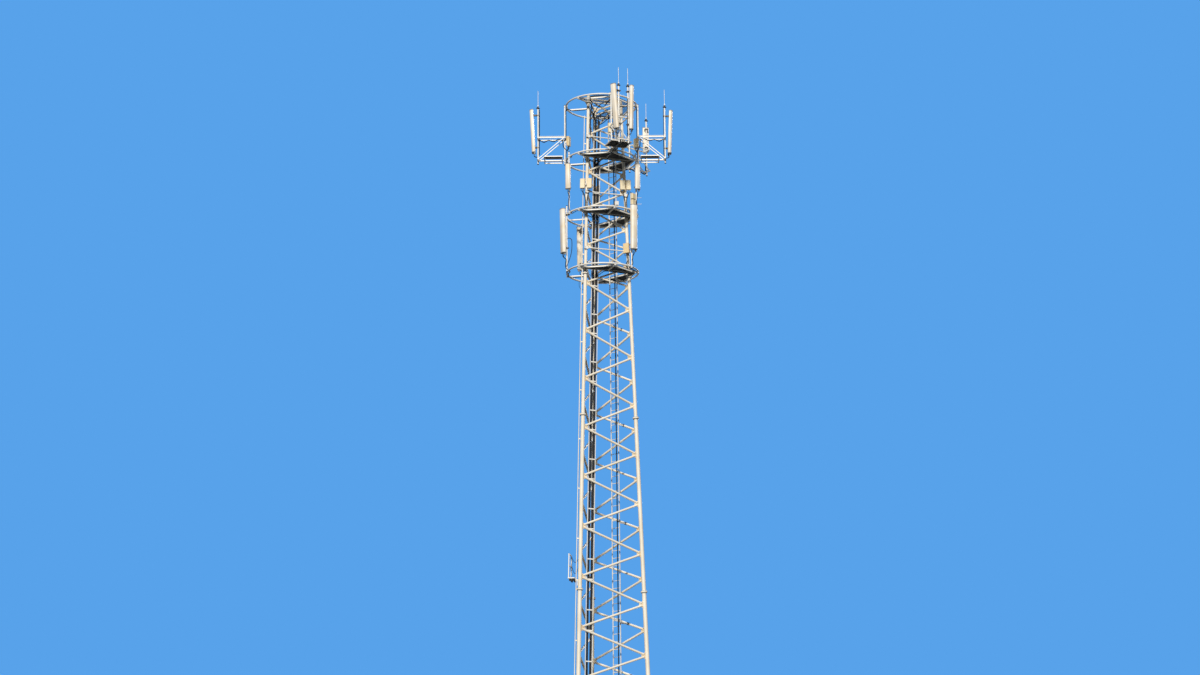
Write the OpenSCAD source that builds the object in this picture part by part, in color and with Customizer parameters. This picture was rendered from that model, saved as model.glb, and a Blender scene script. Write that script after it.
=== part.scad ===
// Three-legged lattice cell tower with four ring levels, antennas and climbing gear.
// Millimetres, +Z up. The origin is the middle of the left foot's underside.

/* [Tower] */
// Distance from the tower's middle to each foot
base_r = 2034; // [1900:1:2200]
// How far each leg leans inward per metre of height
leg_batter = 35; // [30:0.5:38]
// Height of the lowest bracing node
first_node_h = 600; // [500:10:800]
// Height of one bracing bay of the body
body_bay_h = 2000; // [1950:5:2050]
// Number of bracing bays in the body
body_bays = 13; // [13:1:13]
// Height of one bracing bay of the head
head_bay_h = 1600; // [1570:5:1620]
// Number of bracing bays in the head
head_bays = 5; // [5:1:5]

/* [Legs] */
// Outside diameter of the lowest two leg sections
leg_d_base = 168; // [160:1:172]
// Outside diameter of the third leg section
leg_d_mid = 159; // [150:1:165]
// Outside diameter of the fourth leg section
leg_d_upper = 140; // [132:1:150]
// Outside diameter of the leg in the head
leg_d_head = 127; // [114:1:132]
// How far a splice flange stands out from the leg
splice_rim = 45; // [40:1:48]
// Thickness of each splice flange
splice_t = 24; // [16:1:32]
// Diameter of the foot flange
foot_d = 480; // [460:5:520]
// Thickness of the foot flange
foot_t = 40; // [30:1:50]
// Diameter of the circle of anchor holes
foot_pcd = 390; // [380:1:395]
// Diameter of each anchor hole
foot_hole_d = 33; // [27:1:36]

/* [Bracing] */
// Diameter of the body braces
brace_d = 89; // [76:1:92]
// Diameter of the head braces
head_brace_d = 76; // [60:1:80]
// Thickness of the node plates
plate_t = 14; // [10:1:20]
// Height of a node plate along the leg
plate_h = 260; // [220:5:300]
// Reach of a node plate from the leg
plate_reach = 150; // [130:5:180]

/* [Mounting rings] */
// Radius of the rings at the tube's middle
ring_r = 1460; // [1430:5:1480]
// Diameter of the ring tube
ring_d = 70; // [60:1:76]
// Height of the lowest ring
ring_base_h = 27240; // [27180:10:27300]
// Spacing of the rings
ring_step = 2420; // [2400:5:2440]
// Side of the square bars that carry the rings
bar_w = 50; // [40:1:60]
// Radius of the deck's outer corners
deck_r = 1392; // [1350:2:1400]
// Thickness of the deck gratings
deck_t = 30; // [25:1:34]
// Width of the flat bars round each deck
deck_rim_w = 45; // [30:1:60]
// Spacing of the bars in the gratings
grate_pitch = 80; // [60:5:120]
// Thickness of the bars in the gratings
grate_bar_t = 8; // [5:1:12]

/* [Climbing gear] */
// Distance from the ladder's plane to the tower's middle
ladder_out = 330; // [325:1:340]
// Shift of the ladder towards the right leg
ladder_shift = 290; // [270:5:300]
// Width between the ladder's stiles
ladder_w = 380; // [360:5:400]
// Spacing of the rungs
rung_step = 300; // [280:5:320]
// Height of the ladder's lowest point
ladder_base_h = 350; // [300:10:400]
// Height of the ladder's top
ladder_top_h = 34300; // [34200:10:34400]
// Diameter of the rungs
rung_d = 25; // [20:1:30]

/* [Feeder run] */
// Distance of the cable ladder from the left leg's axis
run_offset = 430; // [420:5:450]
// Width between the cable ladder's stiles
run_w = 280; // [270:5:300]
// Diameter of a feeder cable
feeder_d = 28; // [22:1:28]
// Spacing of the feeder cables
feeder_pitch = 30; // [29:0.5:31]
// Height at which the feeder run starts
run_base_h = 300; // [250:10:400]
// Height at which the cable ladder ends
run_top_h = 33300; // [33000:50:33600]
// Thickness of the clamp bars in front of the feeders
clamp_t = 15; // [12:1:20]
// Diameter of the thin conduit beside the left leg
conduit_d = 32; // [25:1:40]

/* [Outriggers] */
// Radius of the outer mast pipes
mast_r = 2640; // [2600:5:2700]
// Diameter of the mast pipes and ring pipes
pipe_d = 60; // [48:1:70]
// Height of the outriggers' upper arms above the third ring
arm_rise = 1000; // [900:10:1100]
// Distance from an outrigger's middle to each of its arms
arm_half = 165; // [150:5:180]
// Length of the service steps along the arm
step_l = 770; // [700:10:800]
// Width of the service steps
step_w = 900; // [800:10:1000]
// Length of the lightning rods
rod_l = 700; // [600:10:900]

/* [Antennas] */
// Height of a full-size antenna
panel_l = 1870; // [1800:10:1950]
// Width of a wide antenna
panel_w = 300; // [260:5:330]
// Depth of a wide antenna
panel_t = 145; // [120:5:160]
// Width of a slim antenna
slim_w = 260; // [220:5:270]
// Depth of a slim antenna
slim_t = 120; // [90:5:130]
// Width of the narrowest antenna
narrow_w = 180; // [150:5:200]
// Height of a short antenna
short_l = 1070; // [1000:10:1150]
// Width of a short antenna
short_w = 220; // [180:5:240]
// Depth of a short antenna
short_t = 110; // [90:5:120]
// Distance from a pipe's axis to an antenna's back
standoff = 105; // [95:5:120]

/* [Radio units] */
// Width of a radio unit
radio_w = 205; // [180:5:220]
// Height of a radio unit
radio_h = 415; // [380:5:450]
// Depth of a radio unit
radio_t = 120; // [100:5:130]
// Width of the large radio unit on the back leg
big_radio_w = 270; // [240:5:290]
// Height of the large radio unit on the back leg
big_radio_h = 680; // [600:10:700]
// Height of the small units on the right antenna pipe
small_radio_h = 240; // [220:5:280]
// Width of the junction box on the second ring
junction_w = 150; // [130:5:180]
// Height of the junction box
junction_h = 180; // [150:5:220]
// Depth of the junction box
junction_t = 110; // [90:5:130]

/* [Rest platform] */
// Height of the small rest platform
rest_h = 14500; // [14300:50:14600]
// Reach of the rest platform from the leg's axis
rest_reach = 430; // [400:10:480]
// Width of the rest platform
rest_w = 560; // [500:10:620]
// Height of the platform's guardrail
rail_h = 950; // [850:10:1000]

/* [Hidden] */

steel = "ivory";
grating = "dimgray";
cable_black = "#1c1c1e";
radome = "floralwhite";
housing = "tan";

// Seats and clearances
seat = 0.3;
deck_gap = 6;

// Azimuths of the legs and of the faces between them
left_az = -150;
right_az = -30;
back_az = 90;
front_face = -90;
right_face = 30;
left_face = 150;

// Geometry of the leaning legs and faces
batter = leg_batter / 1000;
leg_lean = atan(batter);
face_tilt = atan(batter / 2);
plane_lean = atan(batter * sin(60) * cos(face_tilt));
head_h = first_node_h + body_bays * body_bay_h;
top_node_h = head_h + head_bays * head_bay_h;
tower_h = top_node_h + plate_h / 2 + 10;
base_belt_h = first_node_h - plate_h - 40;
splice_hs = [
    first_node_h + 3.25 * body_bay_h, first_node_h + 6.75 * body_bay_h,
    first_node_h + 10.25 * body_bay_h, head_h + 0.25 * head_bay_h
];
leg_ds = [leg_d_base, leg_d_base, leg_d_mid, leg_d_upper, leg_d_head];
foot_x = base_r * cos(left_az);
foot_y = base_r * sin(left_az);
anchor_count = 8;

function leg_r(h) = base_r - batter * h;
function leg_section(h) = len([for (s = splice_hs) if (h >= s) s]);
function leg_radius(h) = leg_ds[leg_section(h)] / 2;
function face_u(h) = leg_r(h) * sin(60);
function face_v(h) = h / cos(face_tilt);

// Bracing nodes: whole bays on one leg of a face, half bays on the other
whole_hs = concat([for (i = [0:body_bays]) first_node_h + i * body_bay_h],
    [for (i = [1:head_bays]) head_h + i * head_bay_h]);
half_hs = concat([for (i = [0:body_bays - 1]) first_node_h + (i + 0.5) * body_bay_h],
    [for (i = [0:head_bays - 1]) head_h + (i + 0.5) * head_bay_h]);
brace_flat = brace_d / 2 * cos(22.5);

function ring_h(level) = ring_base_h + (level - 1) * ring_step;
frame_drop = ring_d / 2 + seat + bar_w / 2;
pipe_r = ring_r + ring_d / 2 + pipe_d / 2 + seat;

// Feeders: each one's place across the run, and its top below the highest ring
feeder_w = -brace_flat - 2 * seat - clamp_t - feeder_d / 2;
feeder_slots = [-3.3, -2.3, -1.3, 1.3, 2.3, 3.3];
feeder_drops = [4100, 1500, 2700, 2300, 1400, 4600];

// The conduit's distance from the left leg's axis, and its direction from the outward one
conduit_out = 152;
conduit_dir = -45;

// Outriggers: azimuths, heights, the places of their pipes and the way their radios face
left_out_az = 160;
right_out_az = -20;
front_out_az = -90;
rear_out_az = 20;
arm_start = pipe_r - pipe_d / 2;
step_h = ring_h(3) + 60;
arm_h = ring_h(3) + arm_rise;
mast_base_h = ring_h(3) - 110;
mast_top_h = ring_h(4) + 10;
front_pipe_half = 120;
front_mast_half = 200;
rear_mast_r = mast_r - 165;
left_radio_aim = -45;
right_radio_aim = -165;
rod_spots = [
    [left_out_az, mast_r, 0], [right_out_az, mast_r, 0], [rear_out_az, rear_mast_r, 0],
    [front_out_az, mast_r, -front_mast_half], [front_out_az, mast_r, front_mast_half]
];

// Azimuths of the junction box and of the pipes that carry the lower antennas
junction_az = -86;
small_left_az = -172;
small_right_az = -43;
tall_left_az = 178;
tall_right_az = -59;
tall_rear_az = 104;

// Puts the tower's middle in place, so that the left foot is at the origin
module on_axis() {
    translate([-foot_x, -foot_y, 0]) children();
}

// A frame on a leg's axis: x outward, z up along the leg
module at_leg(az, h) {
    rotate([0, 0, az]) translate([leg_r(h), 0, h]) rotate([0, -leg_lean, 0]) children();
}

// A frame in a face's plane: x along the face, y up the slope, z outward
module on_face(az) {
    rotate([0, 0, az]) translate([base_r / 2, 0, 0]) rotate([0, -face_tilt, 0])
        rotate([90, 0, 90]) children();
}

// Trim that keeps two braces of one node apart on their plate
function brace_trim(h, d, rise, run) = max(leg_radius(h) + 45, (d / 2 + 4) * norm([rise, run]) / rise);

// A straight tube between two points of a face's plane, trimmed at both ends
module face_tube(a, b, d, trim_a, trim_b) {
    run = norm(b - a);
    translate([a[0], a[1], 0]) rotate([0, 0, atan2(b[1] - a[1], b[0] - a[0])])
        translate([trim_a, 0, 0]) rotate([0, 90, 0]) rotate([0, 0, 22.5])
            cylinder(h = run - trim_a - trim_b, d = d, $fn = 8);
}

// Legs

module leg(az) {
    bounds = concat([foot_t / 2], splice_hs, [tower_h]);
    color(steel) {
        for (i = [0:len(bounds) - 2])
            at_leg(az, bounds[i])
                cylinder(h = (bounds[i + 1] - bounds[i]) / cos(leg_lean), d = leg_ds[i], $fn = 48);
        for (i = [0:len(splice_hs) - 1]) at_leg(az, splice_hs[i]) splice(leg_ds[i]);
        at_leg(az, tower_h) cylinder(h = 10, d = leg_d_head + 16, $fn = 48);
        foot(az);
    }
}

module splice(d) {
    for (z = [-splice_t - 1, 1]) translate([0, 0, z])
        cylinder(h = splice_t, r = d / 2 + splice_rim, $fn = 48);
    translate([0, 0, -2]) cylinder(h = 4, r = d / 2 + splice_rim - 8, $fn = 48);
}

module foot(az) {
    rib_reach = foot_pcd / 2 + foot_hole_d / 2;
    rotate([0, 0, az]) translate([base_r, 0, 0]) {
        difference() {
            cylinder(h = foot_t, d = foot_d, $fn = 64);
            for (i = [0:anchor_count - 1]) rotate([0, 0, (i + 0.5) * 360 / anchor_count])
                translate([foot_pcd / 2, 0, -1])
                    cylinder(h = foot_t + 2, d = foot_hole_d, $fn = 24);
        }
        for (a = [0:90:270]) rotate([90, 0, a]) translate([0, 0, -plate_t / 2])
            linear_extrude(plate_t) polygon([
                [leg_d_base / 2 - 14, foot_t - 2], [rib_reach, foot_t - 2],
                [rib_reach, foot_t + 30], [leg_d_base / 2 - 14, foot_t + 220]
            ]);
    }
}

// Bracing

// One node plate beside the leg on the given side of a face
module node_plate(side, h) {
    v = face_v(h);
    half = plate_h / 2;
    edge = (leg_radius(h) + seat) / cos(plane_lean);
    slope = tan(plane_lean);
    function edge_u(dv) = side * (face_u(h) - slope * dv - edge);
    reach_u = side * (face_u(h) - edge - plate_reach);
    linear_extrude(plate_t, center = true) polygon([
        [edge_u(-half), v - half], [edge_u(half), v + half],
        [reach_u, v + half * 0.45], [reach_u, v - half * 0.45]
    ]);
}

module zigzag(az) {
    function whole(i) = [-face_u(whole_hs[i]), face_v(whole_hs[i])];
    function half(i) = [face_u(half_hs[i]), face_v(half_hs[i])];
    last = len(whole_hs) - 1;
    color(steel) on_face(az) {
        for (i = [0:last - 1]) {
            d = half_hs[i] < head_h ? brace_d : head_brace_d;
            rise = half(i)[1] - whole(i)[1];
            run = half(i)[0] - whole(i)[0];
            trim_half = brace_trim(half_hs[i], d, rise, run);
            face_tube(whole(i), half(i), d, brace_trim(whole_hs[i], d, rise, run), trim_half);
            face_tube(half(i), whole(i + 1), d, trim_half,
                brace_trim(whole_hs[i + 1], d, rise, run));
            node_plate(1, half_hs[i]);
        }
        for (h = whole_hs) node_plate(-1, h);
        belt(base_belt_h, brace_d);
        belt(top_node_h, head_brace_d);
        for (side = [-1, 1]) node_plate(side, base_belt_h);
        node_plate(1, top_node_h);
    }
}

module belt(h, d) {
    trim = leg_radius(h) + 110;
    face_tube([-face_u(h), face_v(h)], [face_u(h), face_v(h)], d, trim, trim);
}

// Mounting rings, the frames that carry them and the decks

module mount_ring(level) {
    color(steel) translate([0, 0, ring_h(level)])
        rotate_extrude($fn = 96) translate([ring_r, 0]) circle(d = ring_d, $fn = 24);
}

// Distance from the tower's middle to the corners of a level's triangular frame
function frame_corner(level) = leg_r(ring_h(level)) + 2 * frame_off(level);
function frame_off(level) = leg_radius(ring_h(level)) + bar_w / 2 + seat + batter * bar_w;

module ring_frame(level) {
    corner = frame_corner(level);
    mid = corner / 2;
    color(steel) translate([0, 0, ring_h(level) - frame_drop]) {
        for (az = [front_face, right_face, left_face]) rotate([0, 0, az]) {
            translate([mid, 0, 0]) cube([bar_w, 2 * corner * sin(60), bar_w], center = true);
            translate([mid, -bar_w / 2, -bar_w / 2]) cube([ring_r + ring_d / 2 - mid, bar_w, bar_w]);
        }
        for (az = [left_az, right_az, back_az]) rotate([0, 0, az])
            translate([corner - bar_w / 2, -bar_w / 2, -bar_w / 2])
                cube([ring_r + ring_d / 2 - corner + bar_w / 2, bar_w, bar_w]);
        for (az = [left_az, front_face, right_az, right_face]) deck_edge_bar(az);
    }
}

// The outer edge bar below a deck, from one radial arm to the next
module deck_edge_bar(az) {
    rotate([0, 0, az + 30]) translate([deck_r * cos(30) - bar_w / 2, 0, 0])
        cube([bar_w, deck_r, bar_w], center = true);
}

module deck(level) {
    color(grating) translate([0, 0, ring_h(level) - ring_d / 2]) {
        rotate([0, 0, front_face]) deck_panel(frame_corner(level));
        rotate([0, 0, right_face]) deck_panel(frame_corner(level));
    }
}

// One deck panel outside a face, drawn with the face's middle on x
module deck_panel(corner) {
    linear_extrude(deck_t) difference() {
        deck_outline(corner, 0);
        deck_outline(corner, deck_rim_w);
    }
    intersection() {
        linear_extrude(deck_t) deck_outline(corner, deck_rim_w - 2);
        for (y = [-deck_r:grate_pitch:deck_r]) translate([0, y - grate_bar_t / 2, 0])
            cube([deck_r, grate_bar_t, deck_t]);
    }
}

module deck_outline(corner, inset) {
    inner = corner / 2 + inset;
    outer = deck_r - inset / cos(30);
    side = deck_gap / 2 + inset;
    difference() {
        intersection() {
            circle(r = outer, $fn = 6);
            translate([inner, -outer]) square([outer, 2 * outer]);
        }
        for (s = [-1, 1]) rotate([0, 0, s * 60]) translate([0, s > 0 ? -side : -outer])
            square([2 * outer, outer + side]);
    }
}

// Climbing gear

module ladder_frame() {
    rotate([0, 0, right_face]) translate([ladder_out, -ladder_shift, 0]) children();
}

module climbing_ladder() {
    color(steel) ladder_frame() {
        for (s = [-1, 1]) translate([-20, s * ladder_w / 2 - 10, ladder_base_h])
            cube([40, 20, ladder_top_h - ladder_base_h]);
        for (h = [ladder_base_h + 150:rung_step:ladder_top_h - 50])
            translate([0, -ladder_w / 2, h]) rotate([-90, 0, 0])
                cylinder(h = ladder_w, d = rung_d, $fn = 8);
    }
}

module fall_arrest_rail() {
    rail_y = -ladder_w / 4;
    color("#303236") ladder_frame()
        translate([-rung_d / 2 - seat - 34, rail_y - 25, ladder_base_h + 60])
            linear_extrude(ladder_top_h - ladder_base_h - 60) union() {
                translate([24, 0]) square([10, 50]);
                translate([0, 19]) square([25, 12]);
            }
}

// Struts from the ladder's stiles to the rising braces of the right face
module ladder_brackets() {
    function strut_v(i, u) = face_v(whole_hs[i]) + (u + face_u(whole_hs[i]))
        * (face_v(half_hs[i]) - face_v(whole_hs[i])) / (face_u(half_hs[i]) + face_u(whole_hs[i]));
    color(steel) for (i = [0:2:body_bays - 1], s = [-1, 1]) {
        u = -ladder_shift + s * ladder_w / 2;
        v = strut_v(i, u);
        inner = ladder_out + 20 + seat;
        face_x = base_r / 2 - v * sin(face_tilt);
        intersection() {
            rotate([0, 0, right_face]) translate([inner, u - 20, 0])
                cube([base_r, 40, tower_h]);
            on_face(right_face) translate([u - 30, v - 30, -face_x])
                cube([60, 60, face_x - brace_flat - seat]);
        }
    }
}

// Feeder run on the inner side of the front face

module run_frame() {
    on_face(front_face) translate([run_offset - base_r * sin(60), 0, 0])
        rotate([0, 0, -plane_lean]) children();
}

module cable_ladder() {
    color(steel) run_frame() {
        for (s = [-1, 1]) translate([s * run_w / 2 - 10, run_base_h, -brace_flat - seat - 45])
            cube([20, run_top_h - run_base_h, 45]);
        for (h = [run_base_h + 200:body_bay_h:run_top_h - 1000], dh = [0, 0.4 * body_bay_h])
            translate([-run_w / 2, h + dh, -brace_flat - seat - clamp_t])
                cube([run_w, 45, clamp_t]);
    }
}

module feeder_cables() {
    color(cable_black) run_frame() for (i = [0:len(feeder_slots) - 1])
        translate([feeder_slots[i] * feeder_pitch, run_base_h + 20, feeder_w])
            rotate([-90, 0, 0])
                cylinder(h = ring_h(4) - feeder_drops[i] - run_base_h, d = feeder_d, $fn = 16);
}

// The thin conduit beside the left leg, with its stand-off clips

module leg_conduit() {
    clip_t = 12;
    color(steel) {
        at_leg(left_az, run_base_h) rotate([0, 0, conduit_dir]) translate([conduit_out, 0, 0])
            cylinder(h = (tower_h - 900 - run_base_h) / cos(leg_lean), d = conduit_d, $fn = 16);
        for (h = [first_node_h + 0.75 * body_bay_h:body_bay_h:head_h])
            conduit_clip(h, clip_t);
        for (h = [head_h + 0.75 * head_bay_h:head_bay_h:tower_h - 1000])
            conduit_clip(h, clip_t);
    }
}

module conduit_clip(h, clip_t) {
    inner = leg_radius(h) + seat;
    at_leg(left_az, h) rotate([0, 0, conduit_dir]) translate([inner, -clip_t, -20])
        cube([conduit_out - inner, 2 * clip_t, 40]);
}

// Rest platform outside the left leg

module rest_frame() {
    at_leg(left_az, rest_h) rotate([0, 0, left_face - left_az]) children();
}

module rest_platform() {
    inner = leg_radius(rest_h) + seat;
    color(steel) rest_frame() {
        translate([inner, -30, -70]) cube([rest_reach - inner, 60, 50]);
        translate([inner, -30, -260]) cube([20, 60, 240]);
        translate([inner + 90, 0, 0]) difference() {
            translate([0, -rest_w / 2, -20]) cube([rest_reach - inner - 90, rest_w, 40]);
            for (y = [-rest_w / 2 + 30:60:rest_w / 2 - 60]) translate([30, y + 5, -21])
                cube([rest_reach - inner - 150, 40, 42]);
        }
        rest_rail();
    }
}

module rest_rail() {
    post = 34;
    post_y = rest_w / 2 - post;
    translate([rest_reach - post - 6, 0, 18]) {
        for (s = [-1, 1]) translate([0, s * post_y - post / 2, 0]) cube([post, post, rail_h]);
        for (z = [rail_h / 2, rail_h - post]) translate([0, -post_y, z])
            cube([post, 2 * post_y, post]);
    }
}

// Outriggers: a frame of two arms with a mast pipe, diagonals and a service step

// Where a vertical pipe touches the rings, seen from the middle of an outrigger
function pipe_x(y) = sqrt(pipe_r * pipe_r - y * y);

module outrigger(az, pipe_ys, mast_ys, mast_out, step_bars) {
    color(steel) rotate([0, 0, az]) {
        for (y = pipe_ys) translate([pipe_x(y), y, ring_h(3) - 150])
            cylinder(h = ring_step + 210, d = pipe_d, $fn = 24);
        for (y = mast_ys) translate([mast_out, y, mast_base_h])
            cylinder(h = mast_top_h - mast_base_h, d = pipe_d, $fn = 24);
        for (s = [-1, 1]) {
            translate([arm_start, s * arm_half - 20, arm_h - 20])
                cube([mast_out - arm_start, 40, 40]);
            outrigger_diagonal(s * arm_half, mast_out);
        }
        for (x = [arm_start + pipe_d / 2, mast_out])
            translate([x - 20, -arm_half - 40, arm_h - 20]) cube([40, 2 * arm_half + 80, 40]);
        translate([mast_out - 20, -arm_half - 40, step_h - 20])
            cube([40, 2 * arm_half + 80, 40]);
        translate([arm_start, -25, step_h - 45]) cube([mast_out - arm_start, 50, 50]);
        for (y = pipe_ys) translate([arm_start + 5, min(y, 0) - 20, step_h - 40])
            cube([50, abs(y) + 40, 40]);
        if (step_bars >= 0) service_step(step_bars);
    }
}

module outrigger_diagonal(y, mast_out) {
    rise = arm_h - step_h;
    run = mast_out - arm_start - pipe_d;
    translate([mast_out, y, step_h]) rotate([0, -atan2(run, rise), 0])
        translate([-15, -15, 0]) cube([30, 30, norm([run, rise])]);
}

// The service step: a flat frame, open or with bars across it
module service_step(bars) {
    pitch = (step_w - 40) / (bars + 1);
    translate([arm_start + 120, -step_w / 2, step_h]) {
        difference() {
            cube([step_l, step_w, 40]);
            translate([40, 40, -1]) cube([step_l - 80, step_w - 80, 42]);
        }
        for (i = [1:1:bars]) translate([20, 20 + i * pitch - 4, 10])
            cube([step_l - 40, 8, 30]);
    }
}

// Lower antenna pipes, clamped outside two rings each

module ring_pipe(az, from_h, to_h) {
    rotate([0, 0, az]) translate([pipe_r, 0, from_h])
        cylinder(h = to_h - from_h, d = pipe_d, $fn = 24);
}

module antenna_pipes() {
    color(steel) {
        ring_pipe(small_left_az, ring_h(2) - 110, ring_h(3) + 170);
        ring_pipe(small_right_az, ring_h(2) - 110, ring_h(3) + 90);
        ring_pipe(tall_left_az, ring_h(1) - 60, ring_h(2) + 330);
        ring_pipe(tall_right_az, ring_h(1) - 90, ring_h(2) + 2 * small_radio_h + 220);
        ring_pipe(tall_rear_az, ring_h(1) - 90, ring_h(2) + 130);
    }
}

// Antennas

// A radome with a rounded front, its back at x = 0 and its foot at z = 0
module radome_body(w, t, h) {
    corner = min(w, 2 * t) * 0.3;
    linear_extrude(h) union() {
        translate([0, -w / 2 + 6]) square([t - corner, w - 12]);
        intersection() {
            hull() for (s = [-1, 1]) translate([t - corner, s * (w / 2 - corner)])
                circle(r = corner, $fn = 32);
            translate([0, -w / 2]) square([t, w]);
        }
        translate([t * 0.25, -w / 2]) square([t - corner - t * 0.25, w]);
    }
}

// A panel antenna on two brackets in front of a pipe at the frame's origin
module panel(size, tilt) {
    w = size[0];
    t = size[1];
    h = size[2];
    gap = pipe_d / 2 + seat;
    color(radome) translate([standoff, 0, 0]) rotate([0, tilt, 0]) {
        radome_body(w, t, h);
        translate([12, -w / 2 - 3, -14]) cube([t - 20, w + 6, 20]);
        translate([12, -w / 2 - 3, h - 6]) cube([t - 20, w + 6, 20]);
    }
    color(steel) for (z = [0.12 * h, 0.88 * h])
        translate([gap, -30, z - 25]) cube([standoff + z * tan(tilt) - gap + 8, 60, 50]);
}

module masted_panel(mast_az, mast_y, mast_out, foot_h, aim, size, tilt) {
    rotate([0, 0, mast_az]) translate([mast_out, mast_y, foot_h]) rotate([0, 0, aim - mast_az])
        panel(size, tilt);
}

// Radio units

// A finned housing standing on a bracket that reaches back to x = near
module radio(near, x0, w, t, h) {
    fins = 7;
    color(steel) translate([near, -25, h / 2 - 30]) cube([x0 - near + 4, 50, 60]);
    color(housing) translate([x0, -w / 2, 0]) {
        cube([t * 0.55, w, h]);
        for (i = [0:fins - 1]) translate([0, i * (w - 8) / (fins - 1), 12])
            cube([t, 8, h - 24]);
    }
}

module outrigger_radios() {
    near = pipe_d / 2 + seat;
    hang = arm_h - radio_h;
    rotate([0, 0, left_out_az]) translate([pipe_r, 0, hang + 60])
        rotate([0, 0, left_radio_aim - left_out_az])
            radio(near, 110, radio_w, radio_t, radio_h);
    rotate([0, 0, right_out_az]) translate([pipe_r, 0, hang - 50])
        rotate([0, 0, right_radio_aim - right_out_az])
            radio(near, 60, radio_w, radio_t, radio_h);
    rotate([0, 0, front_out_az])
        translate([pipe_x(front_pipe_half), -front_pipe_half, arm_h - 260]) rotate([0, 0, 180])
            radio(near, 60, radio_w, radio_t, radio_h);
}

// Two radio units side by side on a bracket that clamps a leg
module leg_radio_pair(az, h, aim, half_gap, out) {
    near = leg_radius(h) + seat;
    at_leg(az, h) rotate([0, 0, aim - az]) {
        color(steel) translate([near, -30, radio_h / 2 - 40]) cube([out - near, 60, 80]);
        color(steel) translate([out - 10, -half_gap - radio_w * 0.7, radio_h / 2 - 30])
            cube([10, 2 * half_gap + radio_w * 1.4, 60]);
        for (s = [-1, 1]) translate([0, s * (half_gap + radio_w / 2), 0])
            radio(out - 2, out, radio_w, radio_t, radio_h);
    }
}

module leg_radio(az, h, aim, w, box_h) {
    at_leg(az, h) rotate([0, 0, aim - az])
        radio(leg_radius(h) + seat, leg_radius(h) + 36, w, radio_t, box_h);
}

module leg_radios() {
    leg_radio_pair(left_az, ring_h(2) + 920, -120, 40, 140);
    leg_radio_pair(right_az, ring_h(2) + 1040, -100, 20, 110);
    leg_radio(back_az, ring_h(2) + 980, 5, big_radio_w, big_radio_h);
    leg_radio(right_az, ring_h(1) + 740, -130, radio_w + 50, radio_h);
}

// Two small units on the right antenna pipe and the junction box on the second ring
module ring_boxes() {
    near = pipe_d / 2 + seat;
    rotate([0, 0, tall_right_az]) translate([pipe_r, 0, 0])
        for (low = [ring_h(2) + 130, ring_h(2) + 160 + small_radio_h])
            translate([0, 0, low]) radio(near, 60, radio_w + 30, radio_t, small_radio_h);
    rotate([0, 0, junction_az]) translate([ring_r, -junction_w / 2, ring_h(2) + ring_d / 2 + seat])
        color(housing) {
            translate([-junction_t / 2, 0, 10]) cube([junction_t, junction_w, junction_h]);
            translate([-30, 20, 0]) cube([60, junction_w - 40, 12]);
        }
}

module lightning_rods() {
    color(steel) {
        for (spot = rod_spots) rotate([0, 0, spot[0]]) translate([spot[1], spot[2], mast_top_h + seat])
            union() {
                cylinder(h = 60, d = pipe_d - 10, $fn = 24);
                cylinder(h = rod_l, d = 18, $fn = 16);
            }
    }
}

on_axis() leg(left_az);  // leg_left
on_axis() leg(right_az);  // leg_right
on_axis() leg(back_az);  // leg_back
on_axis() zigzag(front_face);  // bracing_front
on_axis() zigzag(right_face);  // bracing_right
on_axis() zigzag(left_face);  // bracing_left
on_axis() mount_ring(1);  // mount_ring_1
on_axis() mount_ring(2);  // mount_ring_2
on_axis() mount_ring(3);  // mount_ring_3
on_axis() mount_ring(4);  // mount_ring_4
on_axis() ring_frame(1);  // ring_frame_1
on_axis() ring_frame(2);  // ring_frame_2
on_axis() ring_frame(3);  // ring_frame_3
on_axis() ring_frame(4);  // ring_frame_4
on_axis() deck(1);  // deck_1
on_axis() deck(2);  // deck_2
on_axis() deck(3);  // deck_3
on_axis() deck(4);  // deck_4
on_axis() climbing_ladder();
on_axis() ladder_brackets();
on_axis() fall_arrest_rail();
on_axis() cable_ladder();
on_axis() feeder_cables();
on_axis() leg_conduit();
on_axis() rest_platform();
on_axis() outrigger(left_out_az, [0], [0], mast_r, 0);  // outrigger_left
on_axis()  // outrigger_right
    outrigger(right_out_az, [0], [0], mast_r, 0);
on_axis()  // outrigger_front
    outrigger(front_out_az, [-front_pipe_half, front_pipe_half],
        [-front_mast_half, front_mast_half], mast_r, 10);
on_axis()  // outrigger_rear
    outrigger(rear_out_az, [0], [0], rear_mast_r, -1);
on_axis() antenna_pipes();
on_axis()  // antenna_left
    masted_panel(left_out_az, 0, mast_r, ring_h(3) + 400, left_out_az, [panel_w, panel_t, panel_l], 3);
on_axis()  // antenna_right
    masted_panel(right_out_az, 0, mast_r, ring_h(3) + 310, right_out_az, [panel_w, panel_t, panel_l], 2.5);
on_axis()  // antenna_front_west
    masted_panel(front_out_az, -front_mast_half, mast_r, ring_h(3) + 470, -155,
        [slim_w, slim_t, panel_l], 5);
on_axis()  // antenna_front_east
    masted_panel(front_out_az, front_mast_half, mast_r, ring_h(3) + 470, -60,
        [narrow_w, slim_t, panel_l], 1.5);
on_axis()  // antenna_rear
    masted_panel(rear_out_az, 0, rear_mast_r, ring_h(3) + 1020, 80, [slim_w, slim_t, short_l], 0);
on_axis()  // antenna_small_left
    masted_panel(small_left_az, 0, pipe_r, ring_h(2) + 940, -125, [short_w, short_t, short_l], 1);
on_axis()  // antenna_small_right
    masted_panel(small_right_az, 0, pipe_r, ring_h(2) + 940, -85, [short_w, short_t, short_l], 1);
on_axis()  // antenna_tall_left
    masted_panel(tall_left_az, 0, pipe_r, ring_h(1) + 710, -170, [panel_w, panel_t, panel_l], 1);
on_axis()  // antenna_tall_right
    masted_panel(tall_right_az, 0, pipe_r, ring_h(1) + 680, -75, [panel_w, panel_t, panel_l], 1);
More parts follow.
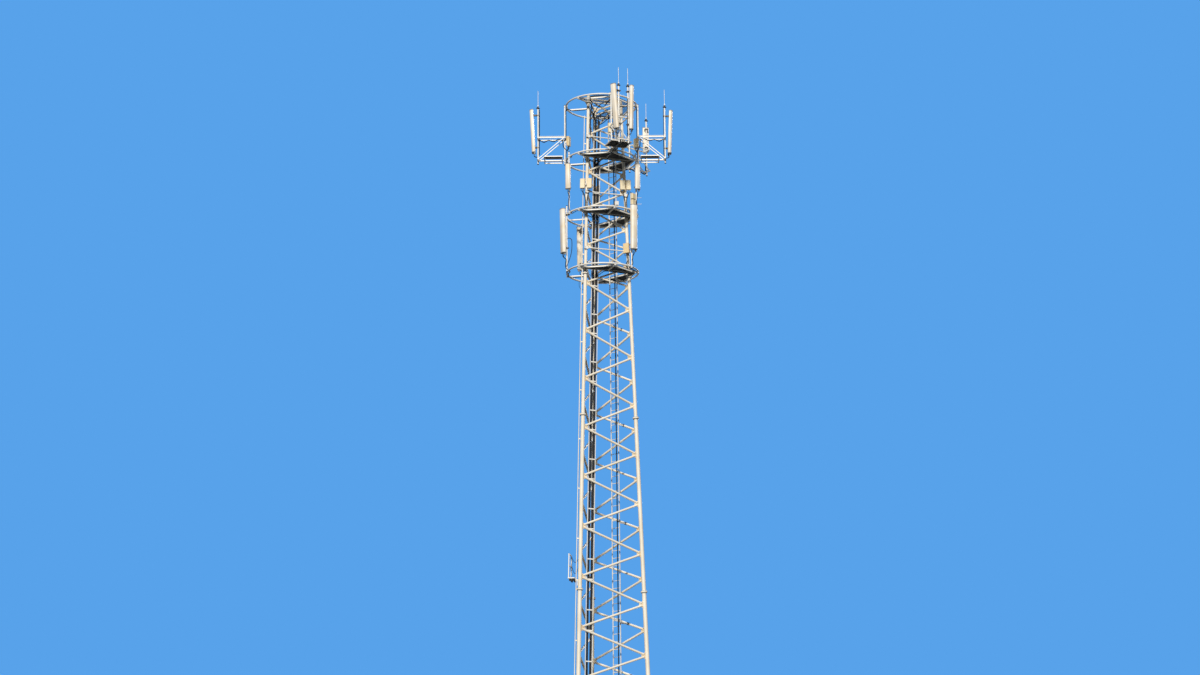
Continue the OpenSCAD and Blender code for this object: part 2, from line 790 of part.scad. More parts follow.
on_axis()  // antenna_tall_rear
    masted_panel(tall_rear_az, 0, pipe_r, ring_h(1) + 560, tall_rear_az,
        [slim_w, slim_t, panel_l], 1);
on_axis() outrigger_radios();
on_axis() leg_radios();
on_axis() ring_boxes();
on_axis() lightning_rods();
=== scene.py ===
# Looks of a three-legged lattice cell tower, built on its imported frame. Metres, +Z up.
import math

import bmesh
import bpy
from mathutils import Matrix, Vector


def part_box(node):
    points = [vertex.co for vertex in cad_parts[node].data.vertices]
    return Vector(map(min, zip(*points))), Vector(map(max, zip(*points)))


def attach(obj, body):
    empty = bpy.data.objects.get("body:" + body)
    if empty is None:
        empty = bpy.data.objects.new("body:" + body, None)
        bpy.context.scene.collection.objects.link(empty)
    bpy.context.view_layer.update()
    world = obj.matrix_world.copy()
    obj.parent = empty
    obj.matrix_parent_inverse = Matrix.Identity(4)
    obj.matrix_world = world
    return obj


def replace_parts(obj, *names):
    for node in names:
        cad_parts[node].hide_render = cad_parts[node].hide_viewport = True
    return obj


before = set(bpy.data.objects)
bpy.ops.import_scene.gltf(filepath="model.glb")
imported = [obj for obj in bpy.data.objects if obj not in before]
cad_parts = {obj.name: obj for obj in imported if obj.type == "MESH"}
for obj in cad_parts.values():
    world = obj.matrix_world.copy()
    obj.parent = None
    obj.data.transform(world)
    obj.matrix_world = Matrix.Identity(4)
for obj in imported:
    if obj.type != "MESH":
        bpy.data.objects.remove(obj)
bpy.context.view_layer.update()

scene = bpy.context.scene

# Camera: it stands at eye height about 85 m from the tower and looks up at the head,
# so that the lowest ten metres are under its view.
eye = Vector((-27.306, -79.246, 1.93))
heading = math.radians(19.82)
pitch = math.radians(14.82)
roll = math.radians(0.473)
photo_width = 1200
focal_length_px = 2175
sensor_mm = 36

level_right = Vector((math.cos(heading), -math.sin(heading), 0))
level_ahead = Vector((math.sin(heading), math.cos(heading), 0))
ahead = level_ahead * math.cos(pitch) + Vector((0, 0, math.sin(pitch)))
above = level_right.cross(ahead)
right_edge = level_right * math.cos(roll) - above * math.sin(roll)
top_edge = level_right * math.sin(roll) + above * math.cos(roll)

camera_data = bpy.data.cameras.new("camera")
camera_data.sensor_width = sensor_mm
camera_data.lens = focal_length_px / photo_width * sensor_mm
camera_data.clip_end = 1000
camera = bpy.data.objects.new("camera", camera_data)
camera.matrix_world = Matrix((right_edge, top_edge, -ahead)).transposed().to_4x4()
camera.matrix_world.translation = eye
scene.collection.objects.link(camera)
scene.camera = camera
scene.view_settings.view_transform = "Standard"


# Floor and light: a wide pale floor under the feet and a plain blue backdrop. One warm lamp high
# behind the camera leaves the undersides dark, a weaker one lights the far side, and the world
# adds a soft even fill.
def linear(hex_colour):
    """The linear RGBA of an sRGB hex colour."""
    parts = [int(hex_colour[i:i + 2], 16) / 255 for i in (1, 3, 5)]
    return [c / 12.92 if c <= 0.04045 else ((c + 0.055) / 1.055) ** 2.4 for c in parts] + [1]


def add(tree, kind, inputs=None, **settings):
    """Adds a node; inputs hold plain values, or the nodes or sockets that feed them."""
    made = tree.nodes.new(kind)
    for name, value in settings.items():
        setattr(made, name, value)
    for name, value in (inputs or {}).items():
        if isinstance(value, bpy.types.Node):
            value = value.outputs[0]
        if isinstance(value, bpy.types.NodeSocket):
            tree.links.new(value, made.inputs[name])
        else:
            made.inputs[name].default_value = value
    return made


def fresh_material(name):
    """A new material with an empty tree, and the tree."""
    material = bpy.data.materials.new(name)
    material.use_nodes = True
    material.node_tree.nodes.clear()
    return material, material.node_tree


def seen_or_lit_by(tree, lit_by, seen_as):
    """Shows one shader to the camera, in gloss and through glass, and lights the tower with the other."""
    ray = add(tree, "ShaderNodeLightPath").outputs
    seen = add(tree, "ShaderNodeMath", {0: ray["Is Camera Ray"], 1: ray["Is Glossy Ray"]}, operation="ADD")
    seen = add(tree, "ShaderNodeMath", {0: seen, 1: ray["Is Transmission Ray"]},
               operation="ADD", use_clamp=True)
    return add(tree, "ShaderNodeMixShader", {0: seen, 1: lit_by, 2: seen_as})


world = bpy.data.worlds.new("studio")
world.use_nodes = True
world.node_tree.nodes.clear()
fill = add(world.node_tree, "ShaderNodeBackground", {"Color": linear("#E3ECF7"), "Strength": 0.12})
backdrop = add(world.node_tree, "ShaderNodeBackground", {"Color": linear("#58A2EA"), "Strength": 1.0})
add(world.node_tree, "ShaderNodeOutputWorld", {"Surface": seen_or_lit_by(world.node_tree, fill, backdrop)})
scene.world = world

for name, colour, energy, softness, aside, rise in (("key_lamp", "#FFF9F0", 3.5, 6, 6, 28),
                                                    ("far_side_lamp", "#EEF4FF", 1.5, 20, 200, 22)):
    lamp_data = bpy.data.lights.new(name, "SUN")
    lamp_data.energy = energy
    lamp_data.angle = math.radians(softness)
    lamp_data.color = linear(colour)[:3]
    lamp = bpy.data.objects.new(name, lamp_data)
    aside, rise = math.radians(aside), math.radians(rise)
    level_way = -level_ahead * math.cos(aside) - level_right * math.sin(aside)
    to_lamp = level_way * math.cos(rise) + Vector((0, 0, math.sin(rise)))
    lamp.matrix_world = to_lamp.to_track_quat("Z", "Y").to_matrix().to_4x4()
    scene.collection.objects.link(lamp)

# Matt paint: seen, the floor is pale, but it throws so little light up that the undersides stay dark.
floor_paint, tree = fresh_material("matt_studio_floor")
pale = add(tree, "ShaderNodeBsdfPrincipled", {"Base Color": linear("#CDD7DE"), "Roughness": 0.9})
dull = add(tree, "ShaderNodeBsdfDiffuse", {"Color": linear("#36352F")})
add(tree, "ShaderNodeOutputMaterial", {"Surface": seen_or_lit_by(tree, dull, pale)})
floor_r, floor_sides, floor_h = 600, 96, -0.001
floor_rim = [(floor_r * math.cos(a), floor_r * math.sin(a), floor_h)
             for a in [2 * math.pi * i / floor_sides for i in range(floor_sides)]]
floor_mesh = bpy.data.meshes.new("studio_floor")
floor_mesh.from_pydata(floor_rim, [], [range(floor_sides)])
floor_mesh.materials.append(floor_paint)
studio_floor = bpy.data.objects.new("studio_floor", floor_mesh)
scene.collection.objects.link(studio_floor)


# Legs: steel tubes in five sections joined at bolted flange pairs, each standing on a foot flange, and
# a thin conduit clipped beside the left one. All are hot-dip galvanised under a cream brushed enamel,
# which has chalked in the light and which rain has streaked.
lowest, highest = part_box("mount_ring_4")
axis = Vector(((lowest[0] + highest[0]) / 2, (lowest[1] + highest[1]) / 2, 0))
left_leg, right_leg, back_leg = leg_azimuths = -150, -30, 90
base_r = 2.034
batter = 0.035
leg_lean = math.atan(batter)
leg_diameters = [0.168, 0.168, 0.159, 0.140, 0.127]
splice_heights = [7.1, 14.1, 21.1, 27.0]
splice_rim, splice_t = 0.045, 0.025
foot_t, foot_pcd = 0.04, 0.39
# Bleached patches, mottle and the length of a rain streak. Zinc flowers and brush marks are about
# 5 mm and too fine to show from 85 m, so the mottle is drawn at 22 mm.
patch_mm, mottle_mm, streak_length_mm = 800, 22, 1100


def leg_r(h):
    return base_r - batter * h


def leg_radius(h):
    return leg_diameters[sum(h >= s for s in splice_heights)] / 2


def turn(degrees, about="Z"):
    return Matrix.Rotation(math.radians(degrees), 4, about)


def shift(x, y, z):
    return Matrix.Translation((x, y, z))


def on_leg(azimuth, h, aim=None):
    """A frame on a leg's axis: z up along the leg, x outward or towards the azimuth aim."""
    return (shift(*axis) @ turn(azimuth) @ shift(leg_r(h), 0, h) @ Matrix.Rotation(-leg_lean, 4, "Y")
            @ turn(0 if aim is None else aim - azimuth))


def weathered(name, base, shade, stain, stain_share, roughness, metallic, streak_mm):
    """A finish bleached in patches, with rain streaks of that width and faint stains."""
    material, tree = fresh_material(name)
    place = add(tree, "ShaderNodeTexCoord").outputs["Object"]
    patches = add(tree, "ShaderNodeTexNoise", {"Vector": place, "Scale": 1000 / patch_mm, "Detail": 4})
    mottle = add(tree, "ShaderNodeTexNoise", {"Vector": place, "Scale": 1000 / mottle_mm, "Detail": 5})
    drawn = add(tree, "ShaderNodeMapping", {
        "Vector": place, "Scale": (1000 / streak_mm, 1000 / streak_mm, 1000 / streak_length_mm)})
    streaks = add(tree, "ShaderNodeTexNoise", {"Vector": drawn, "Scale": 1, "Detail": 6, "Roughness": 0.65})
    blend = add(tree, "ShaderNodeMath", {0: patches, 1: mottle}, operation="MULTIPLY")
    wear = add(tree, "ShaderNodeValToRGB", {0: blend})
    for stop, position, tone in zip(wear.color_ramp.elements, (0.12, 0.34), (shade, base)):
        stop.position, stop.color = position, linear(tone)
    stained = add(tree, "ShaderNodeMapRange", {"Value": streaks, "From Min": 1 - stain_share - 0.1,
                                               "From Max": 1 - stain_share + 0.12, "To Max": 0.85})
    colour = add(tree, "ShaderNodeMix", {"Factor": stained, 6: wear, 7: linear(stain)}, data_type="RGBA")
    rough = add(tree, "ShaderNodeMapRange", {"Value": mottle, "From Min": 0.3, "From Max": 0.7,
                                             "To Min": roughness - 0.08, "To Max": roughness + 0.1})
    relief = add(tree, "ShaderNodeBump", {"Height": mottle, "Strength": 0.25, "Distance": 0.002})
    shader = add(tree, "ShaderNodeBsdfPrincipled", {
        "Base Color": colour.outputs[2], "Roughness": rough, "Metallic": metallic, "Normal": relief})
    add(tree, "ShaderNodeOutputMaterial", {"Surface": shader})
    return material


def coat(material, *names):
    """Gives carried-over CAD nodes their finish."""
    for name in names:
        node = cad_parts[name]
        if not node.material_slots:
            node.data.materials.append(material)
        for slot in node.material_slots:
            slot.material = material


# Chalked enamel is a matt cream, paler where it has bleached, with tan streaks down the tubes.
cream_enamel = weathered("chalked_cream_enamel_on_zinc", "#FBF5E6", "#EDE2CC", "#CFA67B",
                         0.24, 0.55, 0.0, 110)
coat(cream_enamel, "leg_left", "leg_right", "leg_back", "leg_conduit")


# Fasteners: zinc-plated hex bolts on round washers, through the flange pairs, and the anchor nuts
# on the foot flanges. One tree sets them on points that carry the direction each bolt looks in.
washer_t = 0.006


def new_tree(name, **sizes):
    """Begins a geometry tree that grows on guide points or lines; gives it, its inputs and their keys."""
    tree = bpy.data.node_groups.new(name, "GeometryNodeTree")
    keys = {}
    for title, kind in {"guide": "Geometry", **sizes, "material": "Material"}.items():
        made = tree.interface.new_socket(title, in_out="INPUT", socket_type="NodeSocket" + kind)
        keys[title] = made.identifier
    tree.interface.new_socket("grown", in_out="OUTPUT", socket_type="NodeSocketGeometry")
    return tree, add(tree, "NodeGroupInput").outputs, keys


def end_tree(tree, given, shape):
    """Ends a tree: its instances become plain faces and get their material."""
    real = add(tree, "GeometryNodeRealizeInstances", {0: shape})
    coated = add(tree, "GeometryNodeSetMaterial", {"Geometry": real, "Material": given["material"]})
    add(tree, "NodeGroupOutput", {0: coated})


tree, given, keys = new_tree("hex_bolts_on_points", across_flats="Float", head_height="Float",
                             washer_radius="Float")
hex_bolts = tree, keys
whole = add(tree, "GeometryNodeJoinGeometry")
washer = add(tree, "GeometryNodeMeshCylinder", {
    "Vertices": 12, "Radius": given["washer_radius"], "Depth": washer_t})
tree.links.new(washer.outputs[0], whole.inputs[0])
for corner_share, lift_share in ((0.577, 0.62), (0.32, 1)):  # the head, then the threaded end above it
    corner_r = add(tree, "ShaderNodeMath", {0: given["across_flats"], 1: corner_share}, operation="MULTIPLY")
    lift = add(tree, "ShaderNodeMath", {0: given["head_height"], 1: lift_share}, operation="MULTIPLY")
    up = add(tree, "ShaderNodeCombineXYZ", {2: lift})
    hexagon = add(tree, "GeometryNodeMeshCylinder", {
        "Vertices": 6, "Radius": corner_r, "Depth": given["head_height"]})
    lifted = add(tree, "GeometryNodeTransform", {"Geometry": hexagon, "Translation": up})
    tree.links.new(lifted.outputs[0], whole.inputs[0])
looks = add(tree, "GeometryNodeInputNamedAttribute", {"Name": "direction"}, data_type="FLOAT_VECTOR")
aimed = add(tree, "FunctionNodeAlignRotationToVector", {"Vector": looks}, axis="Z")
end_tree(tree, given, add(tree, "GeometryNodeInstanceOnPoints", {
    "Points": given["guide"], "Instance": whole, "Rotation": aimed}))


def laid(name, mesh):
    """Lays a mesh into the scene as a piece that rides on the frame."""
    piece = bpy.data.objects.new(name, mesh)
    scene.collection.objects.link(piece)
    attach(piece, "root")
    return piece


def grown(name, slot, tree_and_keys, points, edges, title, values, **inputs):
    """Runs a tree on points and edges, with one value at each point, and keeps it as a plain mesh."""
    tree, keys = tree_and_keys
    host_mesh = bpy.data.meshes.new(name)
    host_mesh.from_pydata([tuple(p) for p in points], edges, [])
    if title == "direction":
        layer = host_mesh.attributes.new(title, "FLOAT_VECTOR", "POINT")
        layer.data.foreach_set("vector", [part for value in values for part in value])
    else:
        host_mesh.attributes.new(title, "FLOAT", "POINT").data.foreach_set("value", values)
    host = bpy.data.objects.new(name + "_lines", host_mesh)
    scene.collection.objects.link(host)
    modifier = host.modifiers.new("grow", "NODES")
    modifier.node_group = tree
    for key, value in inputs.items():
        modifier[keys[key]] = value
    bpy.context.view_layer.update()
    mesh = bpy.data.meshes.new_from_object(host.evaluated_get(bpy.context.evaluated_depsgraph_get()))
    bpy.data.objects.remove(host)
    mesh.name = name
    return laid(name, mesh)


class Bolts:
    """Places for bolt heads or nuts, and the way that each looks."""

    def __init__(self):
        self.points, self.looks = [], []

    def put(self, matrix, look, *places):
        for place in places:
            self.points.append(matrix @ Vector(place))
            self.looks.append(matrix.to_3x3() @ Vector(look))

    def grow(self, name, slot, across_flats=0.022, head_height=0.012, washer_radius=0.014):
        grown(name, slot, hex_bolts, self.points, [], "direction", self.looks, across_flats=across_flats,
              head_height=head_height, washer_radius=washer_radius, material=zinc_plate)


# Plated bolts are a dull grey metal with soft gloss, and rust has begun on a third of them.
zinc_plate = weathered("zinc_plated_bolts", "#BDBAB2", "#8F8A80", "#8A5E3C", 0.34, 0.42, 0.5, 35)

splice_bolts = 12
bolts = Bolts()
for azimuth in leg_azimuths:
    for h in splice_heights:
        ring = leg_radius(h - 0.1) + splice_rim * 0.55  # on the wider tube, below the splice
        for i in range(splice_bolts):
            angle = 2 * math.pi * i / splice_bolts
            for side in (-1, 1):
                bolts.put(on_leg(azimuth, h), (0, 0, side), (
                    ring * math.cos(angle), ring * math.sin(angle), side * (splice_t + washer_t / 2)))
bolts.grow("splice_bolts", "painted_steel", 0.024, 0.016, 0.018)

anchor_count = 8
bolts = Bolts()
for azimuth in leg_azimuths:
    foot = shift(*axis) @ turn(azimuth) @ shift(base_r, 0, foot_t + washer_t / 2)
    for i in range(anchor_count):
        bolts.put(foot @ turn((i + 0.5) * 360 / anchor_count), (0, 0, 1), (foot_pcd / 2, 0, 0))
bolts.grow("anchor_nuts", "painted_steel", 0.046, 0.05, 0.032)


# Bracing: one zigzag of round steel tubes on each face. Their ends are welded to gusset plates, which
# are a darker, warmer cream than the tubes, because the paint there was touched up over rust.
front_face, right_face, left_face = -90, 30, 150
face_tilt = math.atan(batter / 2)
plane_lean = math.atan(batter * math.sin(math.radians(60)) * math.cos(face_tilt))
first_node_h, body_bay, body_bays = 0.6, 2.0, 13
head_bay, head_bays = 1.6, 5
head_h = first_node_h + body_bay * body_bays
whole_nodes = [first_node_h + body_bay * i for i in range(body_bays + 1)] \
    + [head_h + head_bay * (i + 1) for i in range(head_bays)]
half_nodes = [first_node_h + body_bay * (i + 0.5) for i in range(body_bays)] \
    + [head_h + head_bay * (i + 0.5) for i in range(head_bays)]
brace_d = 0.089
plate_h, plate_reach, plate_taper, gusset_t = 0.26, 0.15, 0.44, 0.019
plate_bolt_in, plate_bolt_rise = 0.028, 0.075
plate_margin, tip_margin, belt_drop = 0.004, 0.005, 0.04
sunk = 0.002  # from a face to the middle of its washer, which sinks 1 mm into paint or zinc


def on_face(azimuth):
    """A frame in a face's plane: x along the face, y up the slope, z outward."""
    return (shift(*axis) @ turn(azimuth) @ shift(base_r / 2, 0, 0) @ Matrix.Rotation(-face_tilt, 4, "Y")
            @ turn(90) @ turn(90, "X"))


def face_u(h):
    return leg_r(h) * math.sin(math.radians(60))


def face_v(h):
    return h / math.cos(face_tilt)


def swept(shape, matrix, levels, material_index=0):
    """Joins outlines in the frame's x and y, at rising heights, into one closed skin."""
    rings = [[shape.verts.new(matrix @ Vector((x, y, z))) for x, y in outline] for z, outline in levels]
    faces = [shape.faces.new(rings[0][::-1]), shape.faces.new(rings[-1])]
    for low, high in zip(rings, rings[1:]):
        for i in range(len(low)):
            j = (i + 1) % len(low)
            faces.append(shape.faces.new((low[i], low[j], high[j], high[i])))
    for face in faces:
        face.material_index = material_index


def finished(name, shape, materials, smooth_angle=None):
    """Turns a bmesh into a piece that rides on the frame."""
    bmesh.ops.recalc_face_normals(shape, faces=shape.faces)
    mesh = bpy.data.meshes.new(name)
    shape.to_mesh(mesh)
    shape.free()
    for material in materials:
        mesh.materials.append(material)
    if smooth_angle is not None:
        mesh.shade_smooth()
        mesh.set_sharp_from_angle(angle=math.radians(smooth_angle))
    return laid(name, mesh)


coat(cream_enamel, "bracing_front", "bracing_right", "bracing_left")
# Brushed-on enamel over rust is a warmer, darker cream with more brown in its streaks.
warm_enamel = weathered("touched_up_warm_enamel", "#EFDDBC", "#DDC097", "#B08358", 0.3, 0.6, 0.0, 80)
shape, bolts = bmesh.new(), Bolts()
belt_h = first_node_h - plate_h - belt_drop
rise = plate_h / 2 - plate_margin
lean = math.tan(plane_lean) * rise
for azimuth in (front_face, right_face, left_face):
    plane = on_face(azimuth)
    for side, h in [(-1, h) for h in whole_nodes + [belt_h]] \
            + [(1, h) for h in half_nodes + [belt_h, whole_nodes[-1]]]:
        v = face_v(h)
        inner = face_u(h) - leg_radius(h) / math.cos(plane_lean)
        tip = side * (inner - plate_reach + tip_margin)
        outline = [(side * (inner + lean), v - rise), (side * (inner - lean), v + rise),
                   (tip, v + rise * plate_taper), (tip, v - rise * plate_taper)]
        swept(shape, plane, [(-gusset_t / 2, outline), (gusset_t / 2, outline)])
        for dv in (-plate_bolt_rise, plate_bolt_rise):
            for out in (-1, 1):
                bolts.put(plane, (0, 0, out),
                          (side * (inner - plate_bolt_in), v + dv, out * (gusset_t / 2 + sunk)))
finished("gusset_plates", shape, [warm_enamel])
bolts.grow("gusset_bolts", "painted_steel", 0.024, 0.013, 0.016)


# Mounting rings: four circles of rolled tube on radial box-section arms, hot-dip galvanised and
# never painted. U-bolts clamp the rings to the arms and the upright pipes to the rings, with a
# strap under their nuts.
ring_r, ring_tube = 1.46, 0.07
ring_base_h, ring_step = 27.24, 2.42
levels = (1, 2, 3, 4)
bar_w = 0.05
pipe_d = 0.06
pipe_r = ring_r + ring_tube / 2 + pipe_d / 2
ubolt_d, leg_over = 0.013, 0.03
strap_t, strap_half = 0.006, 0.055
small_left_az, small_right_az = -172, -43
tall_left_az, tall_right_az, tall_rear_az = 178, -59, 104
left_out_az, right_out_az, front_out_az, rear_out_az = 160, -20, -90, 20
front_pipe_half = 0.12
front_pipe_az = math.degrees(math.asin(front_pipe_half / pipe_r))
# Each pipe's azimuth, its lower ring, and how far it goes on below that ring and above the next.
ring_pipes = [(azimuth, 3, 0.15, 0.06) for azimuth in (
    left_out_az, right_out_az, rear_out_az, front_out_az - front_pipe_az, front_out_az + front_pipe_az)]
ring_pipes += [(small_left_az, 2, 0.11, 0.17), (small_right_az, 2, 0.11, 0.09), (tall_left_az, 1, 0.06, 0.33),
               (tall_right_az, 1, 0.09, 0.70), (tall_rear_az, 1, 0.09, 0.13)]

tree, given, keys = new_tree("round_bars_on_lines", sides="Int")
round_bars = tree, keys
line = add(tree, "GeometryNodeMeshToCurve", {"Mesh": given["guide"]})
thick = add(tree, "GeometryNodeInputNamedAttribute", {"Name": "thickness"}, data_type="FLOAT")
section = add(tree, "GeometryNodeCurvePrimitiveCircle", {"Resolution": given["sides"], "Radius": 1.0})
bars = add(tree, "GeometryNodeCurveToMesh", {
    "Curve": line, "Profile Curve": section, "Scale": thick, "Fill Caps": True})
end_tree(tree, given, add(tree, "GeometryNodeSetShadeSmooth", {"Geometry": bars}))


def ring_h(level):
    return ring_base_h + (level - 1) * ring_step


def at(azimuth, r, h, y=0, aim=None):
    """A frame at a place round the tower: x outward or towards the azimuth aim, z up."""
    return shift(*axis) @ turn(azimuth) @ shift(r, y, h) @ turn(0 if aim is None else aim - azimuth)


def prism(shape, matrix, outline, low, high, material_index=0):
    """Adds a straight prism from z low to z high."""
    swept(shape, matrix, [(low, outline), (high, outline)], material_index)


def oblong(x0, x1, half_y):
    return [(x0, -half_y), (x1, -half_y), (x1, half_y), (x0, half_y)]


class Lines:
    """Chains of points, each with half a thickness, that round or flat bars follow."""

    def __init__(self):
        self.points, self.edges, self.halves = [], [], []

    def chain(self, matrix, places, diameter, closed=False):
        first = len(self.points)
        for place in places:
            self.points.append(matrix @ Vector(place))
            self.halves.append(diameter / 2)
            if len(self.points) - first > 1:
                self.edges.append((len(self.points) - 2, len(self.points) - 1))
        if closed:
            self.edges.append((len(self.points) - 1, first))

    def grow(self, name, slot, material, tree_and_keys=round_bars, **sizes):
        return grown(name, slot, tree_and_keys, self.points, self.edges, "thickness", self.halves,
                     material=material, **(sizes or {"sides": 8}))


def u_bolt(lines, bolts, matrix, held_d, grip, leg):
    """A U-bolt in the frame's x-z plane round a bar along y, with its nuts that far down its legs."""
    bend = held_d / 2 + ubolt_d / 2
    arc = [(bend * math.cos(a), 0, bend * math.sin(a)) for a in [math.pi * i / 8 for i in range(9)]]
    lines.chain(matrix, [(bend, 0, -leg)] + arc + [(-bend, 0, -leg)], ubolt_d)
    bolts.put(matrix, (0, 0, -1), (-bend, 0, -grip), (bend, 0, -grip))


# Bare galvanising that has weathered is a matt near-white with hardly any metal left in its gloss.
galvanised = weathered("weathered_hot_dip_galvanising", "#FAF8F1", "#E9E5DB", "#C4A986", 0.17, 0.5, 0.05, 70)
coat(galvanised, "antenna_pipes", *[f"mount_ring_{level}" for level in levels],
     *[f"ring_frame_{level}" for level in levels])

clamps, straps, bolts = Lines(), bmesh.new(), Bolts()
grip = ring_tube / 2 + bar_w
arm_strap = oblong(-0.062, 0.062, 0.022)
for level in levels:
    for azimuth in (-150, -90, -30, 30, 90, 150):
        crossing = at(azimuth, ring_r, ring_h(level))
        u_bolt(clamps, bolts, crossing, ring_tube, grip + strap_t + sunk, grip + leg_over)
        prism(straps, crossing, arm_strap, -grip - strap_t, -grip)
grip = pipe_d / 2 + ring_tube
strap_in, strap_out = grip + 0.01, grip + 0.002
round_pipe = turn(90) @ turn(90, "X")  # turns a U-bolt round an upright pipe, with its legs inward
for azimuth, low, below, over in ring_pipes:
    for level in (low, low + 1):
        crossing = at(azimuth, pipe_r, ring_h(level))
        for rise in (-ring_tube / 2 - ubolt_d, ring_tube / 2 + ubolt_d):
            u_bolt(clamps, bolts, crossing @ shift(0, 0, rise) @ round_pipe, pipe_d, strap_in + sunk,
                   grip + leg_over)
        prism(straps, crossing, oblong(-strap_in, -strap_out, strap_half), -0.075, 0.075)
clamps.grow("ring_u_bolts", "galvanised_steel", zinc_plate)
finished("ring_saddles", straps, [galvanised])
bolts.grow("ring_clamp_nuts", "galvanised_steel")


# Decks: galvanised gratings of upright flats with thin cross rods, welded into an angle rim, outside
# the front and right faces at every ring. The flats run from arm to arm. Those of the top deck are
# lower and stand further apart, so that it lets more light through.
deck_r, deck_gap, rim_t = 1.392, 0.006, 0.006
grating_h, grating_pitch = 0.03, 0.034
top_bar_h, top_pitch = 0.012, 0.062
flat_t, rod_d, rod_pitch = 0.004, 0.008, 0.1
# Zinc on gratings goes dull and somewhat dark, since dirt and rust stay between the flats. The
# near-black it is drawn in is mostly painted shade: seen from below, the gratings lie in their own shadow.
weathered_zinc_and_shade = weathered("weathered_zinc_and_painted_shade", "#423F3B", "#2A2826", "#3A2F26", 0.3, 0.7, 0.1, 50)

tree, given, keys = new_tree("flat_bars_on_lines", bar_thickness="Float", bar_height="Float")
flat_bars = tree, keys
line = add(tree, "GeometryNodeMeshToCurve", {"Mesh": given["guide"]})
upright = add(tree, "GeometryNodeSetCurveNormal", {"Curve": line}, mode="Z_UP")
section = add(tree, "GeometryNodeCurvePrimitiveQuadrilateral", {
    "Width": given["bar_thickness"], "Height": given["bar_height"]})
end_tree(tree, given, add(tree, "GeometryNodeCurveToMesh", {
    "Curve": upright, "Profile Curve": section, "Fill Caps": True}))


def deck_outline(h, inset):
    """The corners of one deck panel, x along its face's outward direction."""
    inner = (leg_r(h) + 2 * (leg_radius(h) + bar_w / 2 + batter * bar_w)) / 2 + inset
    outer = deck_r - inset / math.cos(math.radians(30))
    side_slope = math.tan(math.radians(60))
    cut = (deck_gap / 2 + inset) / math.cos(math.radians(60))
    corner_x = (outer + cut * math.tan(math.radians(30))) / 2
    corner_y = (outer - corner_x) * side_slope
    inner_y = inner * side_slope - cut
    return [(inner, -inner_y), (corner_x, -corner_y), (outer, 0), (corner_x, corner_y), (inner, inner_y)]


for level in levels:
    shape, bars, rods = bmesh.new(), Lines(), Lines()
    pitch, bar_h = (top_pitch, top_bar_h) if level == 4 else (grating_pitch, grating_h)
    for azimuth in (front_face, right_face):
        panel = at(azimuth, 0, ring_h(level) - ring_tube / 2)
        outline, inside = deck_outline(ring_h(level), 0), deck_outline(ring_h(level), rim_t)
        for i in range(5):
            j = (i + 1) % 5
            prism(shape, panel, [outline[i], outline[j], inside[j], inside[i]], 0, grating_h)
        (inner, inner_y), (corner_x, corner_y), (outer, _) = inside[4], inside[3], inside[2]
        for i in range(1, int((outer - inner) / pitch) + 1):
            x, z = inner + i * pitch, grating_h - bar_h / 2
            reach = (outer - x) / (outer - corner_x) * corner_y if x > corner_x else \
                inner_y + (x - inner) / (corner_x - inner) * (corner_y - inner_y)
            bars.chain(panel, [(x, -reach, z), (x, reach, z)], flat_t)
        count = int(2 * corner_y / rod_pitch)
        for i in range(1, count):
            y, z = -corner_y + i * 2 * corner_y / count, grating_h - rod_d / 2
            start = max(inner, inner + (abs(y) - inner_y) / (corner_y - inner_y) * (corner_x - inner))
            end = outer - abs(y) / corner_y * (outer - corner_x)
            rods.chain(panel, [(start, y, z), (end, y, z)], rod_d)
    rim = finished(f"deck_{level}_rim", shape, [weathered_zinc_and_shade])
    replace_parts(rim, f"deck_{level}")
    bars.grow(f"deck_{level}_bars", "deck_grating", weathered_zinc_and_shade, flat_bars, bar_thickness=flat_t,
              bar_height=bar_h)
    rods.grow(f"deck_{level}_rods", "deck_grating", weathered_zinc_and_shade, sides=4)


# Climbing gear: a galvanised ladder inside the right face, with a dark aluminium rail on its rungs.
# Collars round the braces hold its struts, and the rail is bolted to every fifth rung.
ladder_out, ladder_shift, ladder_w = 0.330, 0.290, 0.380
ladder_top, ladder_base, rung_step, rungs_to_a_bolt = 34.3, 0.35, 0.3, 5
collar_half, collar_wall = 0.05, 0.011
first_rung, rail_back, rail_bolt_half_gap = 0.15, 0.049, 0.016
# Anodised aluminium is a smooth near-black, a little blue, with a low gloss and no rust.
dark_rail = weathered("dark_anodised_rail", "#3B3E43", "#2B2D31", "#3A3632", 0.3, 0.45, 0.3, 50)
coat(dark_rail, "fall_arrest_rail")
coat(galvanised, "climbing_ladder", "ladder_brackets")
collars, bolts = Lines(), Bolts()
plane = on_face(right_face)
for low, high in zip(whole_nodes[:body_bays:2], half_nodes[::2]):
    slope = (face_v(high) - face_v(low)) / (face_u(high) + face_u(low))
    along = Vector((1, slope, 0)).normalized() * collar_half
    for s in (-1, 1):
        u = -ladder_shift + s * ladder_w / 2
        middle = Vector((u, face_v(low) + (u + face_u(low)) * slope, 0))
        collars.chain(plane, [middle - along, middle + along], brace_d + 2 * collar_wall)
        bolts.put(plane, (0, 0, 1), middle + Vector((0, 0, brace_d / 2 + 0.01)))
collars.grow("ladder_collars", "dark_rail", dark_rail, sides=12)
for i in range(0, int((ladder_top - ladder_base) / rung_step), rungs_to_a_bolt):
    bracket = at(right_face, ladder_out - rail_back, ladder_base + first_rung + i * rung_step,
                 -ladder_shift - ladder_w / 4)
    bolts.put(bracket, (-1, 0, 0), (0, -rail_bolt_half_gap, 0), (0, rail_bolt_half_gap, 0))
bolts.grow("ladder_bolts", "dark_rail")


